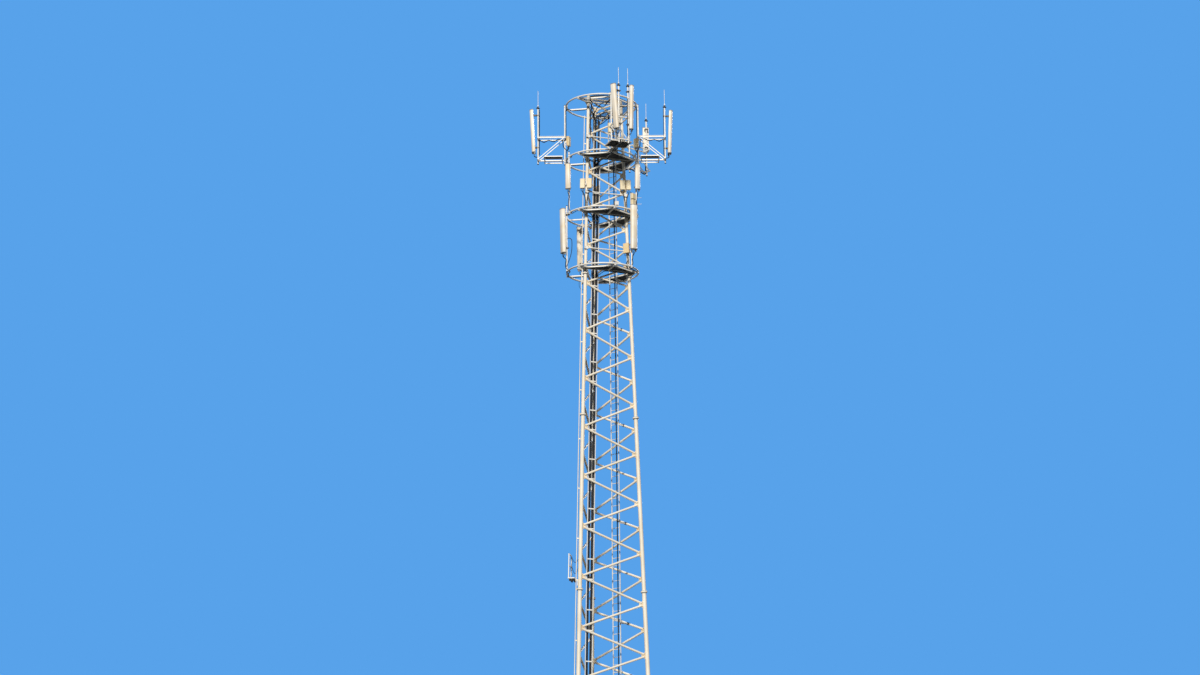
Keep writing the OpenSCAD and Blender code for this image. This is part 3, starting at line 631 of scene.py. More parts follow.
# Feeder run: two groups of three black coaxial cables on the inner side of the front face, held by
# black moulded hangers behind the clamp bars of a white cable ladder.
run_offset, run_w, run_base, run_top = 0.43, 0.28, 0.3, 33.3
feeder_d, feeder_pitch, group_pitch = 0.028, 0.03, 2.3
hanger_l, hanger_wall, hanger_bolt_rise = 0.04, 0.006, 0.022
first_support, last_gap, second_support = 0.2, 1.0, 0.8
clamp_t = 0.015
brace_flat = brace_d / 2 * math.cos(math.radians(22.5))
feeder_w = -brace_flat - clamp_t - feeder_d / 2
run = on_face(front_face) @ shift(run_offset - base_r * math.sin(math.radians(60)), 0, 0) \
    @ Matrix.Rotation(-plane_lean, 4, "Z")

# Extruded polyethylene is black with a soft waxy gloss. Dust lies on it in grey patches of 140 mm.
dust_mm = 140
black_sheath, tree = fresh_material("black_polyethylene_sheath")
place = add(tree, "ShaderNodeTexCoord").outputs["Object"]
dust = add(tree, "ShaderNodeTexNoise", {"Vector": place, "Scale": 1000 / dust_mm, "Detail": 6})
tone = add(tree, "ShaderNodeValToRGB", {0: dust})
for stop, position, colour in zip(tone.color_ramp.elements, (0.35, 0.75), ("#0F0F11", "#272625")):
    stop.position, stop.color = position, linear(colour)
gloss = add(tree, "ShaderNodeMapRange", {
    "Value": dust, "From Min": 0.3, "From Max": 0.7, "To Min": 0.48, "To Max": 0.68})
shader = add(tree, "ShaderNodeBsdfPrincipled", {
    "Base Color": tone, "Roughness": gloss, "IOR": 1.51, "Specular IOR Level": 0.35})
add(tree, "ShaderNodeOutputMaterial", {"Surface": shader})
coat(black_sheath, "feeder_cables")
coat(galvanised, "cable_ladder")

shape, bolts = bmesh.new(), Bolts()
support = run_base + first_support
while support < run_top - last_gap:
    for h in (support, support + second_support):
        for x in (-group_pitch * feeder_pitch, group_pitch * feeder_pitch):
            half_w, half_t = 1.5 * feeder_pitch + 0.008, feeder_d / 2 + hanger_wall
            prism(shape, run @ shift(0, h, feeder_w) @ turn(90, "X"),
                  oblong(x - half_w, x + half_w, half_t), -hanger_l, 0.0)
            bolts.put(run, (0, 0, -1), (x, h + hanger_bolt_rise, feeder_w - half_t))
        x, y, z = run_w / 2 - 0.01, h + hanger_bolt_rise, -brace_flat + 0.001
        bolts.put(run, (0, 0, 1), (-x, y, z), (x, y, z))
    support += body_bay
finished("feeder_hangers", shape, [black_sheath])
bolts.grow("feeder_bolts", "galvanised_steel", 0.019, 0.01, 0.012)


# Outriggers: galvanised bars that are in the frame. Here are the U-bolts and plates that hold each
# mast to its cross bars, the front service step's grating in near-black painted shade, rows of dark
# flats and rods at the side outriggers' steps that paint the shade under their bars, the thin tie
# rods above the side arms and the black plastic plugs in the open ends of the pipes.
mast_r, front_mast_half = 2.640, 0.2
rear_mast_r = mast_r - 0.165
arm_h, step_h = ring_h(3) + 1.0, ring_h(3) + 0.06
mast_base, mast_top = ring_h(3) - 0.11, ring_h(4) + 0.01
masts = [(left_out_az, mast_r, 0), (right_out_az, mast_r, 0), (rear_out_az, rear_mast_r, 0),
         (front_out_az, mast_r, -front_mast_half), (front_out_az, mast_r, front_mast_half)]
mast_clamp_rise, mast_plate_in, mast_plate_out = 0.035, 0.04, 0.031
coat(galvanised, "outrigger_left", "outrigger_right", "outrigger_front", "outrigger_rear")
clamps, shape, bolts = Lines(), bmesh.new(), Bolts()
for azimuth, r, y in masts:
    for h in (step_h, arm_h):
        crossing = at(azimuth, r, h, y)
        prism(shape, crossing, oblong(-mast_plate_in, -mast_plate_out, strap_half), -0.06, 0.06)
        for rise in (-mast_clamp_rise, mast_clamp_rise):
            u_bolt(clamps, bolts, crossing @ shift(0, 0, rise) @ round_pipe, pipe_d, mast_plate_in + sunk,
                   mast_plate_in + leg_over / 2)
clamps.grow("mast_u_bolts", "galvanised_steel", zinc_plate)
finished("mast_saddles", shape, [galvanised])

step_l, step_w, step_rim, step_bar_h = 0.770, 0.900, 0.04, 0.035
step_r, step_in, step_out = pipe_r - pipe_d / 2 + 0.12, step_rim, step_l - step_rim
step_flat_z, step_rod_z, step_rods = 0.02, 0.034, 9
shade_strip_flat_z, shade_strip_rod_z, shade_strip_flats, shade_strip_pitch, shade_strip_rod_pitch = -0.004, 0.008, 4, 0.022, 0.11
bars, rods = Lines(), Lines()
step = at(front_out_az, step_r, step_h)
count = int((step_out - step_in) / grating_pitch)
for i in range(1, count):
    x, y = step_in + i * (step_out - step_in) / count, step_w / 2 - step_rim
    bars.chain(step, [(x, -y, step_flat_z), (x, y, step_flat_z)], flat_t)
for i in range(1, step_rods):
    y = (i / step_rods - 0.5) * (step_w - 2 * step_rim)
    rods.chain(step, [(step_in, y, step_rod_z), (step_out, y, step_rod_z)], rod_d)
# At the side outriggers, the dark rows of flats and rods paint the shade under the step bars.
for azimuth, near_side in ((left_out_az, 1), (right_out_az, -1)):
    step = at(azimuth, step_r, step_h)
    for shade_strip in (0.355, 0.19, -0.12):
        for i in range(shade_strip_flats):
            y = near_side * (shade_strip + i * shade_strip_pitch)
            bars.chain(step, [(step_in, y, shade_strip_flat_z), (step_out, y, shade_strip_flat_z)], flat_t)
        first, last = near_side * shade_strip, near_side * (shade_strip + (shade_strip_flats - 1) * shade_strip_pitch)
        for x in [i * shade_strip_rod_pitch for i in range(1, 7)]:
            rods.chain(step, [(x, first, shade_strip_rod_z), (x, last, shade_strip_rod_z)], rod_d)
bars.grow("step_bars", "deck_grating", weathered_zinc_and_shade, flat_bars, bar_thickness=flat_t, bar_height=step_bar_h)
rods.grow("step_rods", "deck_grating", weathered_zinc_and_shade, sides=4)
bolts.grow("mast_clamp_nuts", "galvanised_steel")

tie_rise, tie_half_gap, tie_rod_d, tie_collar_half, tie_collar_wall = 0.11, 0.02, 0.018, 0.02, 0.008
tie_rods = Lines()
for azimuth in (left_out_az, right_out_az):
    for y in (-tie_half_gap, tie_half_gap):
        tie_rods.chain(at(azimuth, 0, arm_h, y), [(pipe_r, 0, tie_rise), (mast_r, 0, tie_rise)], tie_rod_d)
    for r in (pipe_r, mast_r):
        tie_rods.chain(at(azimuth, r, arm_h + tie_rise), [(0, 0, -tie_collar_half), (0, 0, tie_collar_half)],
                       pipe_d + 2 * tie_collar_wall)
tie_rods.grow("arm_tie_rods", "galvanised_steel", galvanised, sides=12)

# Moulded polyethylene is a matt black, greyed a little by the light.
moulded_black = weathered("black_moulded_polyethylene", "#1B1B1C", "#111112", "#2B2724", 0.3, 0.6, 0.0, 40)
plug_in, plug_out, plug_d = 0.014, 0.012, pipe_d + 0.008
plugs = Lines()
for azimuth, r, y, low, high in [(*mast, mast_base, None) for mast in masts] + [
        (azimuth, pipe_r, 0, ring_h(level) - below, ring_h(level + 1) + over)
        for azimuth, level, below, over in ring_pipes]:
    plugs.chain(at(azimuth, r, 0, y), [(0, 0, low - plug_out), (0, 0, low + plug_in)], plug_d)
    if high:
        plugs.chain(at(azimuth, r, 0, y), [(0, 0, high - plug_in), (0, 0, high + plug_out)], plug_d)
plugs.grow("pipe_plugs", "cable_sheath", moulded_black, sides=16)


# Antennas: panel antennas with a moulded glass-fibre radome, grey end caps, coaxial sockets and a
# tilt unit below, and two hinged brackets that clamp a pipe.
standoff = 0.105
chalk_mm, soil_mm, soil_length_mm, weave_mm = 450, 60, 900, 8
# Moulded glass fibre is a warm chalky white with a satin gloss. Its weave, about 2 mm, is too fine to
# show and is drawn at 8 mm. Chalk lies in patches, and rain has drawn tan soil down it.
radome_white, tree = fresh_material("moulded_glass_fibre_radome")
place = add(tree, "ShaderNodeTexCoord").outputs["Object"]
chalk = add(tree, "ShaderNodeTexNoise", {"Vector": place, "Scale": 1000 / chalk_mm, "Detail": 5})
drawn = add(tree, "ShaderNodeMapping", {
    "Vector": place, "Scale": (1000 / soil_mm, 1000 / soil_mm, 1000 / soil_length_mm)})
runs = add(tree, "ShaderNodeTexNoise", {"Vector": drawn, "Scale": 1, "Detail": 5})
tone = add(tree, "ShaderNodeValToRGB", {0: chalk})
for stop, position, colour in zip(tone.color_ramp.elements, (0.3, 0.62), ("#F6E6C9", "#FEF9EE")):
    stop.position, stop.color = position, linear(colour)
soiled = add(tree, "ShaderNodeMapRange", {"Value": runs, "From Min": 0.5, "From Max": 0.78, "To Max": 0.5})
colour = add(tree, "ShaderNodeMix", {"Factor": soiled, 6: tone, 7: linear("#E6CBA0")}, data_type="RGBA")
weave = add(tree, "ShaderNodeTexNoise", {"Vector": place, "Scale": 1000 / weave_mm, "Detail": 3})
relief = add(tree, "ShaderNodeBump", {"Height": weave, "Strength": 0.12, "Distance": 0.001})
shader = add(tree, "ShaderNodeBsdfPrincipled", {
    "Base Color": colour.outputs[2], "Roughness": 0.42, "Normal": relief})
add(tree, "ShaderNodeOutputMaterial", {"Surface": shader})
# Moulded caps are a flat mid grey. The brackets are drawn a dark brownish grey, which is painted
# shade on their zinc. Nickel plating stays the only bright metal, greyed by its oxide.
cap_grey = weathered("moulded_grey_end_caps", "#A9A7A0", "#8F8D87", "#7E7464", 0.3, 0.55, 0.0, 40)
shaded_bracket_zinc = weathered("bracket_zinc_in_painted_shade", "#6E6A64", "#4F4B47", "#4A3F33", 0.3, 0.6, 0.3, 40)
nickel = weathered("nickel_plated_sockets", "#A8A49B", "#7F7B73", "#6B5A40", 0.25, 0.35, 0.85, 35)
antenna_coats = [radome_white, cap_grey, shaded_bracket_zinc, nickel]
RADOME, CAP, BRACKET, SOCKET = range(4)


def radome_section(width, depth, grow=0.0):
    """The outline of a radome, back at x = 0: flat back with small corners, crowned front."""
    wide_r, small_r, crown = min(width, 2 * depth) * 0.3, 0.014, 0.006
    half = width / 2 + grow
    outline = []
    for cx, cy, r, start in (
            (small_r, -half + small_r, small_r, 180), (depth - wide_r, -half + wide_r, wide_r, 270),
            (depth - wide_r, half - wide_r, wide_r, 0), (small_r, half - small_r, small_r, 90)):
        steps = 6 if r == wide_r else 3
        for i in range(steps + 1):
            a = math.radians(start + 90 * i / steps)
            bulge = crown * math.cos(a) if r == wide_r and math.cos(a) > 0.9 else 0
            outline.append((cx + (r + grow) * math.cos(a) + bulge,
                            cy + (r + grow if r == wide_r else r) * math.sin(a)))
    return outline


def drum(shape, matrix, r, low, high, sides, material_index):
    """Adds a round bar along the frame's z."""
    turns = [2 * math.pi * i / sides for i in range(sides)]
    prism(shape, matrix, [(r * math.cos(a), r * math.sin(a)) for a in turns], low, high, material_index)


def block(shape, matrix, low, high, material_index, bevel=0.003):
    """Adds a box with chamfered upright edges and a chamfered top."""
    (x0, y0, z0), (x1, y1, z1) = low, high
    b = min(bevel, (x1 - x0) * 0.3, (y1 - y0) * 0.3, (z1 - z0) * 0.3)
    full, drawn_in = [
        [(x0 + b, y0 + i), (x1 - b, y0 + i), (x1 - i, y0 + b), (x1 - i, y1 - b),
         (x1 - b, y1 - i), (x0 + b, y1 - i), (x0 + i, y1 - b), (x0 + i, y0 + b)] for i in (0, b * 0.9)]
    swept(shape, matrix, [(z0, drawn_in), (z0 + b, full), (z1 - b, full), (z1, drawn_in)], material_index)


def pipe_clamp(shape, matrix, material_index):
    """A pair of jaws with two threaded rods round an upright pipe at the frame's origin."""
    jaw_half_w, jaw_half_h = 0.075, 0.03
    for near, far in ((-0.046, -0.031), (0.031, 0.046)):
        block(shape, matrix, (near, -jaw_half_w, -jaw_half_h), (far, jaw_half_w, jaw_half_h), material_index)
    for y in (-0.055, 0.055):
        rod = matrix @ shift(0, y, 0) @ turn(90, "Y")
        drum(shape, rod, 0.007, -0.075, 0.06, 8, material_index)
        for x in (-0.056, 0.046):
            drum(shape, rod, 0.012, x, x + 0.01, 6, material_index)


def antenna(name, mount, width, depth, height, tilt, sockets):
    """A panel antenna in front of a pipe at the frame's origin, tilted forward; gives its socket tips."""
    shape = bmesh.new()
    body = mount @ shift(standoff, 0, 0) @ turn(tilt, "Y")
    section, narrow, lip, lip_narrow = [
        radome_section(width, depth, grow) for grow in (0, -0.004, 0.003, -0.005)]
    swept(shape, body, [(0.012, narrow), (0.02, section), (height - 0.02, section),
                        (height - 0.012, narrow)], RADOME)
    swept(shape, body, [(-0.014, lip_narrow), (-0.008, lip), (0.018, lip)], CAP)
    swept(shape, body, [(height - 0.018, lip), (height + 0.006, lip), (height + 0.014, lip_narrow)], CAP)
    for z in (0.12 * height, 0.88 * height):
        reach = standoff + z * math.tan(math.radians(tilt)) + 0.004
        clamp = mount @ shift(0, 0, z)
        pipe_clamp(shape, clamp, BRACKET)
        for y in (-0.035, 0.035):
            block(shape, clamp, (0.04, y - 0.005, -0.028), (reach, y + 0.005, 0.028), BRACKET)
        drum(shape, clamp @ shift(0.075, 0, 0) @ turn(90, "X"), 0.008, -0.055, 0.055, 8, BRACKET)
        block(shape, body, (-0.008, -0.06, z - 0.045), (0.001, 0.06, z + 0.045), BRACKET)
    tips = []
    for i in range(sockets):
        y = (i - (sockets - 1) / 2) * min(0.055, width * 0.7 / sockets)
        below = body @ shift(depth * 0.45, y, 0)
        tips.append(below @ Vector((0, 0, -0.048)))
        drum(shape, below, 0.0135, -0.034, -0.013, 6, SOCKET)
        drum(shape, below, 0.010, -0.052, -0.034, 10, SOCKET)
    block(shape, body, (depth * 0.1, width * 0.2, -0.085), (depth * 0.5, width * 0.42, -0.013), CAP)
    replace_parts(finished(name, shape, antenna_coats, smooth_angle=35), name)
    return tips


wide, slim, narrow_panel, short = (0.30, 0.145), (0.26, 0.12), (0.18, 0.12), (0.22, 0.11)
full_l, short_l = 1.87, 1.07
front_h = ring_h(3) + 0.47
stands, ports = {}, {}
for name, stand, (width, depth), height, tilt, sockets in (
        ("antenna_left", (left_out_az, mast_r, ring_h(3) + 0.40), wide, full_l, 3, 4),
        ("antenna_right", (right_out_az, mast_r, ring_h(3) + 0.31), wide, full_l, 2.5, 4),
        ("antenna_front_west", (front_out_az, mast_r, front_h, -front_mast_half, -155), slim, full_l, 5, 4),
        ("antenna_front_east", (front_out_az, mast_r, front_h, front_mast_half, -60),
         narrow_panel, full_l, 1.5, 2),
        ("antenna_rear", (rear_out_az, rear_mast_r, ring_h(3) + 1.02, 0, 80), slim, short_l, 0, 2),
        ("antenna_small_left", (small_left_az, pipe_r, ring_h(2) + 0.94, 0, -125), short, short_l, 1, 2),
        ("antenna_small_right", (small_right_az, pipe_r, ring_h(2) + 0.94, 0, -85), short, short_l, 1, 2),
        ("antenna_tall_left", (tall_left_az, pipe_r, ring_h(1) + 0.71, 0, -170), wide, full_l, 1, 4),
        ("antenna_tall_right", (tall_right_az, pipe_r, ring_h(1) + 0.68, 0, -75), wide, full_l, 1, 4),
        ("antenna_tall_rear", (tall_rear_az, pipe_r, ring_h(1) + 0.56, 0, tall_rear_az), slim, full_l, 1, 2)):
    stands[name] = stand
    ports[name] = antenna(name, at(*stand), width, depth, height, tilt, sockets)


# Lightning rods: galvanised bars that are in the frame. Each is clamped to the top of its mast by a
# pair of jaws and a short collar, drawn in the gratings' near-black zinc, which is mostly painted shade.
# Two more pairs of jaws grip the tall rear antenna's pipe, and two spare pegs stand out of the small
# right antenna's pipe.
narrow_jaws = Matrix.Diagonal((1, 0.76, 1, 1))
rod_aim, rod_clamp_drop, collar_r = -140, 0.075, 0.038
rear_jaw_heights, rear_jaw_aim = (29.36, 29.54), -110
peg_heights, peg_aim, peg_d = (30.27, 30.0), -15, 0.02
coat(galvanised, "lightning_rods")
shape = bmesh.new()
for azimuth, r, y in masts:
    top = at(azimuth, r, mast_top - rod_clamp_drop, y, rod_aim)
    pipe_clamp(shape, top @ narrow_jaws, 0)
    drum(shape, top, collar_r, 0.045, 0.078, 16, 0)
for h in rear_jaw_heights:
    pipe_clamp(shape, at(tall_rear_az, pipe_r, h, 0, rear_jaw_aim), 0)
finished("rod_clamps", shape, [weathered_zinc_and_shade], smooth_angle=30)
pegs = Lines()
for h in peg_heights:
    pegs.chain(at(small_right_az, pipe_r, h, 0, peg_aim), [(0.02, 0, 0), (0.2, 0, 0), (0.21, 0, 0.02)], peg_d)
pegs.grow("pipe_pegs", "galvanised_steel", galvanised)


# Radio units: die-cast aluminium housings with cooling fins, powder coated, with sockets below, a
# carrying handle above and a bracket behind. A small glass-fibre junction box stands on ring 2.
radio_w, radio_hh, radio_t = 0.205, 0.415, 0.12
fin_pitch, fin_t, plug_share = 0.02, 0.005, 0.35
near_pipe = pipe_d / 2
# Powder coat is evenly matt, and the covers are cream. The tan on the sides and fins is painted shade
# of those side faces, and is also the real tan of two units' covers. The brown on the low unit's sides
# is a painted shadow. The glass-fibre box has kept a clean white.
cream_coat = weathered("cream_powder_coat", "#F8EBCA", "#EBD7AB", "#CBA56C", 0.28, 0.5, 0.0, 55)
tan_coat_and_side_shade = weathered("tan_powder_coat_and_painted_side_shade", "#EED6A6", "#DABC88", "#9C6D3E", 0.3, 0.55, 0.0, 55)
shadow_brown_coat = weathered("brown_powder_coat_painted_shadow", "#C8955A", "#A87745", "#6C4628", 0.36, 0.6, 0.0, 55)
white_coat = weathered("white_glass_fibre_box", "#FFFDF8", "#F2EFE8", "#CDBFA6", 0.2, 0.5, 0.0, 55)
radio_coats = [cream_coat, tan_coat_and_side_shade, galvanised, nickel, white_coat, shadow_brown_coat]
CREAM, TAN_AND_SIDE_SHADE, STEEL, NICKEL, WHITE, SHADOW_BROWN = range(6)


# By default the sides and fins take the tan that paints their shade.
def radio(shape, mount, near, back, cover=CREAM, side=TAN_AND_SIDE_SHADE, width=radio_w, height=radio_hh):
    """A radio unit: bracket from x = near, housing from x = back, cover outside; gives its socket tips."""
    half, depth = width / 2, radio_t
    block(shape, mount, (near, -0.03, height / 2 - 0.045), (back + 0.006, 0.03, height / 2 + 0.045), STEEL)
    block(shape, mount, (back, -half + 0.01, 0.012), (back + depth * 0.5, half - 0.01, height - 0.012),
          side, 0.008)
    fins = max(5, int(width / fin_pitch))
    for i in range(fins):
        y = -half + 0.004 + i * (width - 0.008) / (fins - 1)
        block(shape, mount, (back + 0.006, y - fin_t / 2, 0.006),
              (back + depth * 0.86, y + fin_t / 2, height - 0.006), side)
    block(shape, mount, (back + depth * 0.62, -half + 0.004, 0), (back + depth, half - 0.004, height),
          cover, 0.016)
    block(shape, mount, (back + depth * 0.1, -half, height - 0.01), (back + depth * 0.9, half, height),
          side, 0.004)
    tips = []
    for i in range(4):
        plug = mount @ shift(back + depth * plug_share, (i - 1.5) * width * 0.21, 0)
        drum(shape, plug, 0.012, -0.03, 0.006, 8, NICKEL)
        tips.append(plug @ Vector((0, 0, -0.028)))
    near_x, far_x, grip_y = back + depth * 0.4, back + depth * 0.5, width * 0.28
    for y in (-grip_y, grip_y):
        block(shape, mount, (near_x, y - 0.006, height), (far_x, y + 0.006, height + 0.022), side)
    block(shape, mount, (near_x, -grip_y, height + 0.014), (far_x, grip_y, height + 0.024), side)
    return tips


hang = arm_h - radio_hh
left_radio_low, left_radio_aim, left_radio_back = hang + 0.06, -45, 0.11
right_radio_low, right_radio_aim, right_radio_back = hang - 0.05, -165, 0.06
shape = bmesh.new()
ports["radio_left"] = radio(
    shape, at(left_out_az, pipe_r, left_radio_low, 0, left_radio_aim), near_pipe, left_radio_back)
ports["radio_right"] = radio(
    shape, at(right_out_az, pipe_r, right_radio_low, 0, right_radio_aim), near_pipe, right_radio_back)
ports["radio_front"] = radio(
    shape, at(front_out_az, math.sqrt(pipe_r ** 2 - front_pipe_half ** 2), arm_h - 0.26, -front_pipe_half)
    @ turn(180), near_pipe, 0.06, TAN_AND_SIDE_SHADE, CREAM)
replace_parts(finished("outrigger_radios", shape, radio_coats, smooth_angle=30),
            "outrigger_radios")

shape = bmesh.new()
left_pair_h, right_pair_h = ring_h(2) + 0.92, ring_h(2) + 1.04
middle_z = radio_hh / 2
for title, azimuth, h, aim, half_gap, out in (
        ("radios_leg_left", left_leg, left_pair_h, -120, 0.04, 0.14),
        ("radios_leg_right", right_leg, right_pair_h, -100, 0.02, 0.11)):
    ports[title] = []
    mount, bar_half = on_leg(azimuth, h, aim), half_gap + radio_w * 0.7
    block(shape, mount, (leg_radius(h), -0.03, middle_z - 0.04), (out, 0.03, middle_z + 0.04), STEEL)
    block(shape, mount, (out - 0.01, -bar_half, middle_z - 0.03), (out, bar_half, middle_z + 0.03), STEEL)
    for s in (-1, 1):
        ports[title] += radio(shape, mount @ shift(0, s * (half_gap + radio_w / 2), 0), out - 0.002, out)
    for z in (middle_z - 0.05, middle_z + 0.05):
        drum(shape, mount, leg_radius(h) + 0.006, z, z + 0.02, 24, STEEL)
back_h, low_h = ring_h(2) + 0.98, ring_h(1) + 0.74
# The low unit's brown sides are a painted shadow.
for title, azimuth, h, aim, coats, size in (
        ("radio_back", back_leg, back_h, 5, (TAN_AND_SIDE_SHADE, TAN_AND_SIDE_SHADE), (0.27, 0.68)),
        ("radio_low", right_leg, low_h, -130, (TAN_AND_SIDE_SHADE, SHADOW_BROWN), (radio_w + 0.05, radio_hh))):
    ports[title] = radio(shape, on_leg(azimuth, h, aim), leg_radius(h), leg_radius(h) + 0.036, *coats, *size)
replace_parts(finished("leg_radios", shape, radio_coats, smooth_angle=30), "leg_radios")

shape = bmesh.new()
small_h = 0.24
ports["radios_ring"] = []
for low in (ring_h(2) + 0.13, ring_h(2) + 0.16 + small_h):
    ports["radios_ring"] += radio(
        shape, at(tall_right_az, pipe_r, low), near_pipe, 0.06, CREAM, CREAM, radio_w + 0.03, small_h)
junction = at(-86, ring_r, ring_h(2) + ring_tube / 2)
block(shape, junction, (-0.055, -0.075, 0.01), (0.055, 0.075, 0.19), WHITE, 0.012)
block(shape, junction, (-0.03, -0.055, 0), (0.03, 0.055, 0.012), STEEL)
block(shape, junction, (0.05, -0.07, 0.016), (0.062, 0.07, 0.184), WHITE, 0.005)
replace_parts(finished("ring_boxes", shape, radio_coats, smooth_angle=30), "ring_boxes")


# Rest platform: a galvanised floor and posts that are in the frame. Two slack safety chains close its
# open side from the far post to the leg, the spare end hangs down that post, and clamps hold the
# floor below, drawn in the gratings' near-black zinc, which is mostly painted shade.
rest_h, rest_reach, rest_half = 14.5, 0.407, 0.246
link_l, link_w, link_d = 0.062, 0.034, 0.010
floor_clamp_y, floor_clamp_w, floor_clamp_spans = 0.16, 0.1, ((0.17, 0.27), (0.31, 0.39))
platform = on_leg(left_leg, rest_h, 150)
coat(galvanised, "rest_platform")
links = Lines()


def chain(places):
    """Welded oval links along a line, each turned a quarter from the last."""
    route = [Vector(place) for place in places]
    total = sum((after - here).length for here, after in zip(route, route[1:]))
    count = int(total / (link_l - 2 * link_d))
    walked, i = 0.0, 0
    for k in range(count):
        target = (k + 0.5) * total / count
        while walked + (route[i + 1] - route[i]).length < target:
            walked += (route[i + 1] - route[i]).length
            i += 1
        along = (route[i + 1] - route[i]).normalized()
        centre = route[i] + along * (target - walked)
        across = along.orthogonal().normalized()
        if k % 2:
            across = along.cross(across)
        oval = [centre + along * math.cos(a) * (link_l - link_d) / 2
                + across * math.sin(a) * (link_w - link_d) / 2 for a in [math.pi * j / 5 for j in range(10)]]
        links.chain(platform, oval, link_d, closed=True)


leg_side = (leg_radius(rest_h) * 0.8, -leg_radius(rest_h) * 0.6)
for post_z, leg_z, sag in ((0.90, 0.86, 0.2), (0.56, 0.52, 0.3)):
    start, end = Vector((rest_reach - 0.02, -rest_half, post_z)), Vector((*leg_side, leg_z))
    chain([start.lerp(end, i / 16) - Vector((0, 0, sag * (1 - (i / 8 - 1) ** 2))) for i in range(17)])
chain([(rest_reach - 0.03 + 0.012 * math.sin(i * 1.3), -rest_half + 0.03 + 0.01 * math.cos(i), 0.9 - 0.05 * i)
       for i in range(18)])
links.grow("rest_chains", "dark_rail", moulded_black, sides=6)
shape = bmesh.new()
for y in (-floor_clamp_y, floor_clamp_y):
    for x0, x1 in floor_clamp_spans:
        block(shape, platform, (x0, y - floor_clamp_w / 2, -0.1), (x1, y + floor_clamp_w / 2, -0.02),
              0, 0.015)
finished("rest_floor_clamps", shape, [weathered_zinc_and_shade])


# Hand rails: one galvanised tube across the front face above each of the three lower decks, held to
# the left and right legs by pairs of U-bolts through a small backing plate.
rail_rise, rail_d, rail_over, rail_clamp_rise = 0.83, 0.048, 0.1, 0.04
rail_plate = oblong(-0.09, 0.09, 0.06)
rails, clamps, shape, bolts = Lines(), Lines(), bmesh.new(), Bolts()
plane = on_face(front_face)
for level in (1, 2, 3):
    h = ring_h(level) + rail_rise
    v, reach, out = face_v(h), face_u(h) + rail_over, leg_radius(h) + rail_d
    rails.chain(plane, [(-reach, v, out - rail_d / 2), (reach, v, out - rail_d / 2)], rail_d)
    for side in (-1, 1):
        crossing = plane @ shift(side * face_u(h), v, 0)
        prism(shape, crossing, rail_plate, out, out + strap_t)
        for lift in (-rail_clamp_rise, rail_clamp_rise):
            u_bolt(clamps, bolts, crossing @ shift(0, lift, 0) @ turn(180, "Y"), 2 * leg_radius(h),
                   out + strap_t + washer_t / 2, out + leg_over)
rails.grow("hand_rails", "galvanised_steel", galvanised, sides=16)
clamps.grow("hand_rail_u_bolts", "galvanised_steel", zinc_plate)
finished("hand_rail_plates", shape, [galvanised])
bolts.grow("hand_rail_nuts", "galvanised_steel")


# Jumper cables: bundles of black coaxial cables from the sockets to the tops of the feeders. Nylon
# ties hold them to the pipes, arms and frame bars that they follow.
jumper_d, tie_w, tie_wall = 0.015, 0.012, 0.003
straight_end = Vector((0, 0, 0.06))
frame_drop, behind_run = 0.105, 0.035
feeder_slots = [-3.3, -2.3, -1.3, 1.3, 2.3, 3.3]
feeder_tops = [run_top - drop for drop in (4.1, 1.5, 2.7, 2.3, 1.4, 4.6)]
# From each arm's azimuth: the faces whose bars the cables follow, and where along them.
across_left = [(left_face, share) for share in (-0.85, -0.3, 0.3, 0.85)]
bar_stops = {150: [(left_face, -0.1), (left_face, 0.45), (left_face, 0.85)], back_leg: across_left,
             left_leg: [(front_face, -0.85)], -90: [(front_face, 0.0), (front_face, -0.25)],
             right_leg: [(front_face, 0.82), (front_face, 0.3), (front_face, -0.15)],
             30: [(right_face, 0.1), (right_face, 0.85)] + across_left}
jumpers, ties = Lines(), Lines()


def smoothed(places, step=0.05):
    """Points every few centimetres on a smooth line through the given places."""
    ends = [places[0] * 2 - places[1]] + places + [places[-1] * 2 - places[-2]]
    line = []
    for a, b, c, d in zip(ends, ends[1:], ends[2:], ends[3:]):
        count = max(2, int((c - b).length / step))
        for t in [i / count for i in range(count)]:
            line.append((b * 2 + (c - a) * t + (a * 2 - b * 5 + c * 4 - d) * t ** 2
                         + (b * 3 - a - c * 3 + d) * t ** 3) / 2)
    return line + [places[-1]]


def loom(places, count, starts=(), finishes=(), diameter=jumper_d):
    """A bundle of cables through places, fanned out to its sockets, with ties round it."""
    spread = {1: 0, 2: 0.55, 3: 0.62, 4: 0.78}[count] * diameter  # from the bundle's middle to a cable's
    for k in range(count):
        angle = 2 * math.pi * k / count + 0.4
        route = []
        for before, here, after in zip([places[0]] + places, places, places[1:] + [places[-1]]):
            along = (after - before).normalized()
            across = along.cross(Vector((0, 0, 1)) if abs(along.z) < 0.8 else level_ahead).normalized()
            route.append(here + (across * math.cos(angle) + along.cross(across) * math.sin(angle)) * spread)
        if k < len(starts):
            route = [starts[k], starts[k] - straight_end] + route
        if k < len(finishes):
            route = route + [finishes[k] - straight_end, finishes[k]]
        jumpers.chain(Matrix(), smoothed(route), diameter)
    if count > 1:
        line = smoothed(places, 0.3)
        for here, after in zip(line[1:-1], line[2:]):
            along = (after - here).normalized() * tie_w / 2
            ties.chain(Matrix(), [here - along, here + along], 2 * spread + diameter + 2 * tie_wall)


def spots(*places):
    """Places round the tower, each an azimuth, a distance from the axis, a height and a shift aside."""
    return [at(*place).translation for place in places]


def off(matrix, *places):
    return [matrix @ Vector(place) for place in places]


def by_leg(azimuth, aim, *places):
    """Places beside a leg, each a height, a distance from its middle and a shift aside."""
    return [on_leg(azimuth, h, aim) @ Vector((out, side, 0)) for h, out, side in places]


def by_run(slot, h, inward=0):
    """A place on one feeder's line along the cable ladder, or that far behind it."""
    return run @ Vector((slot * feeder_pitch, face_v(h), feeder_w - inward))


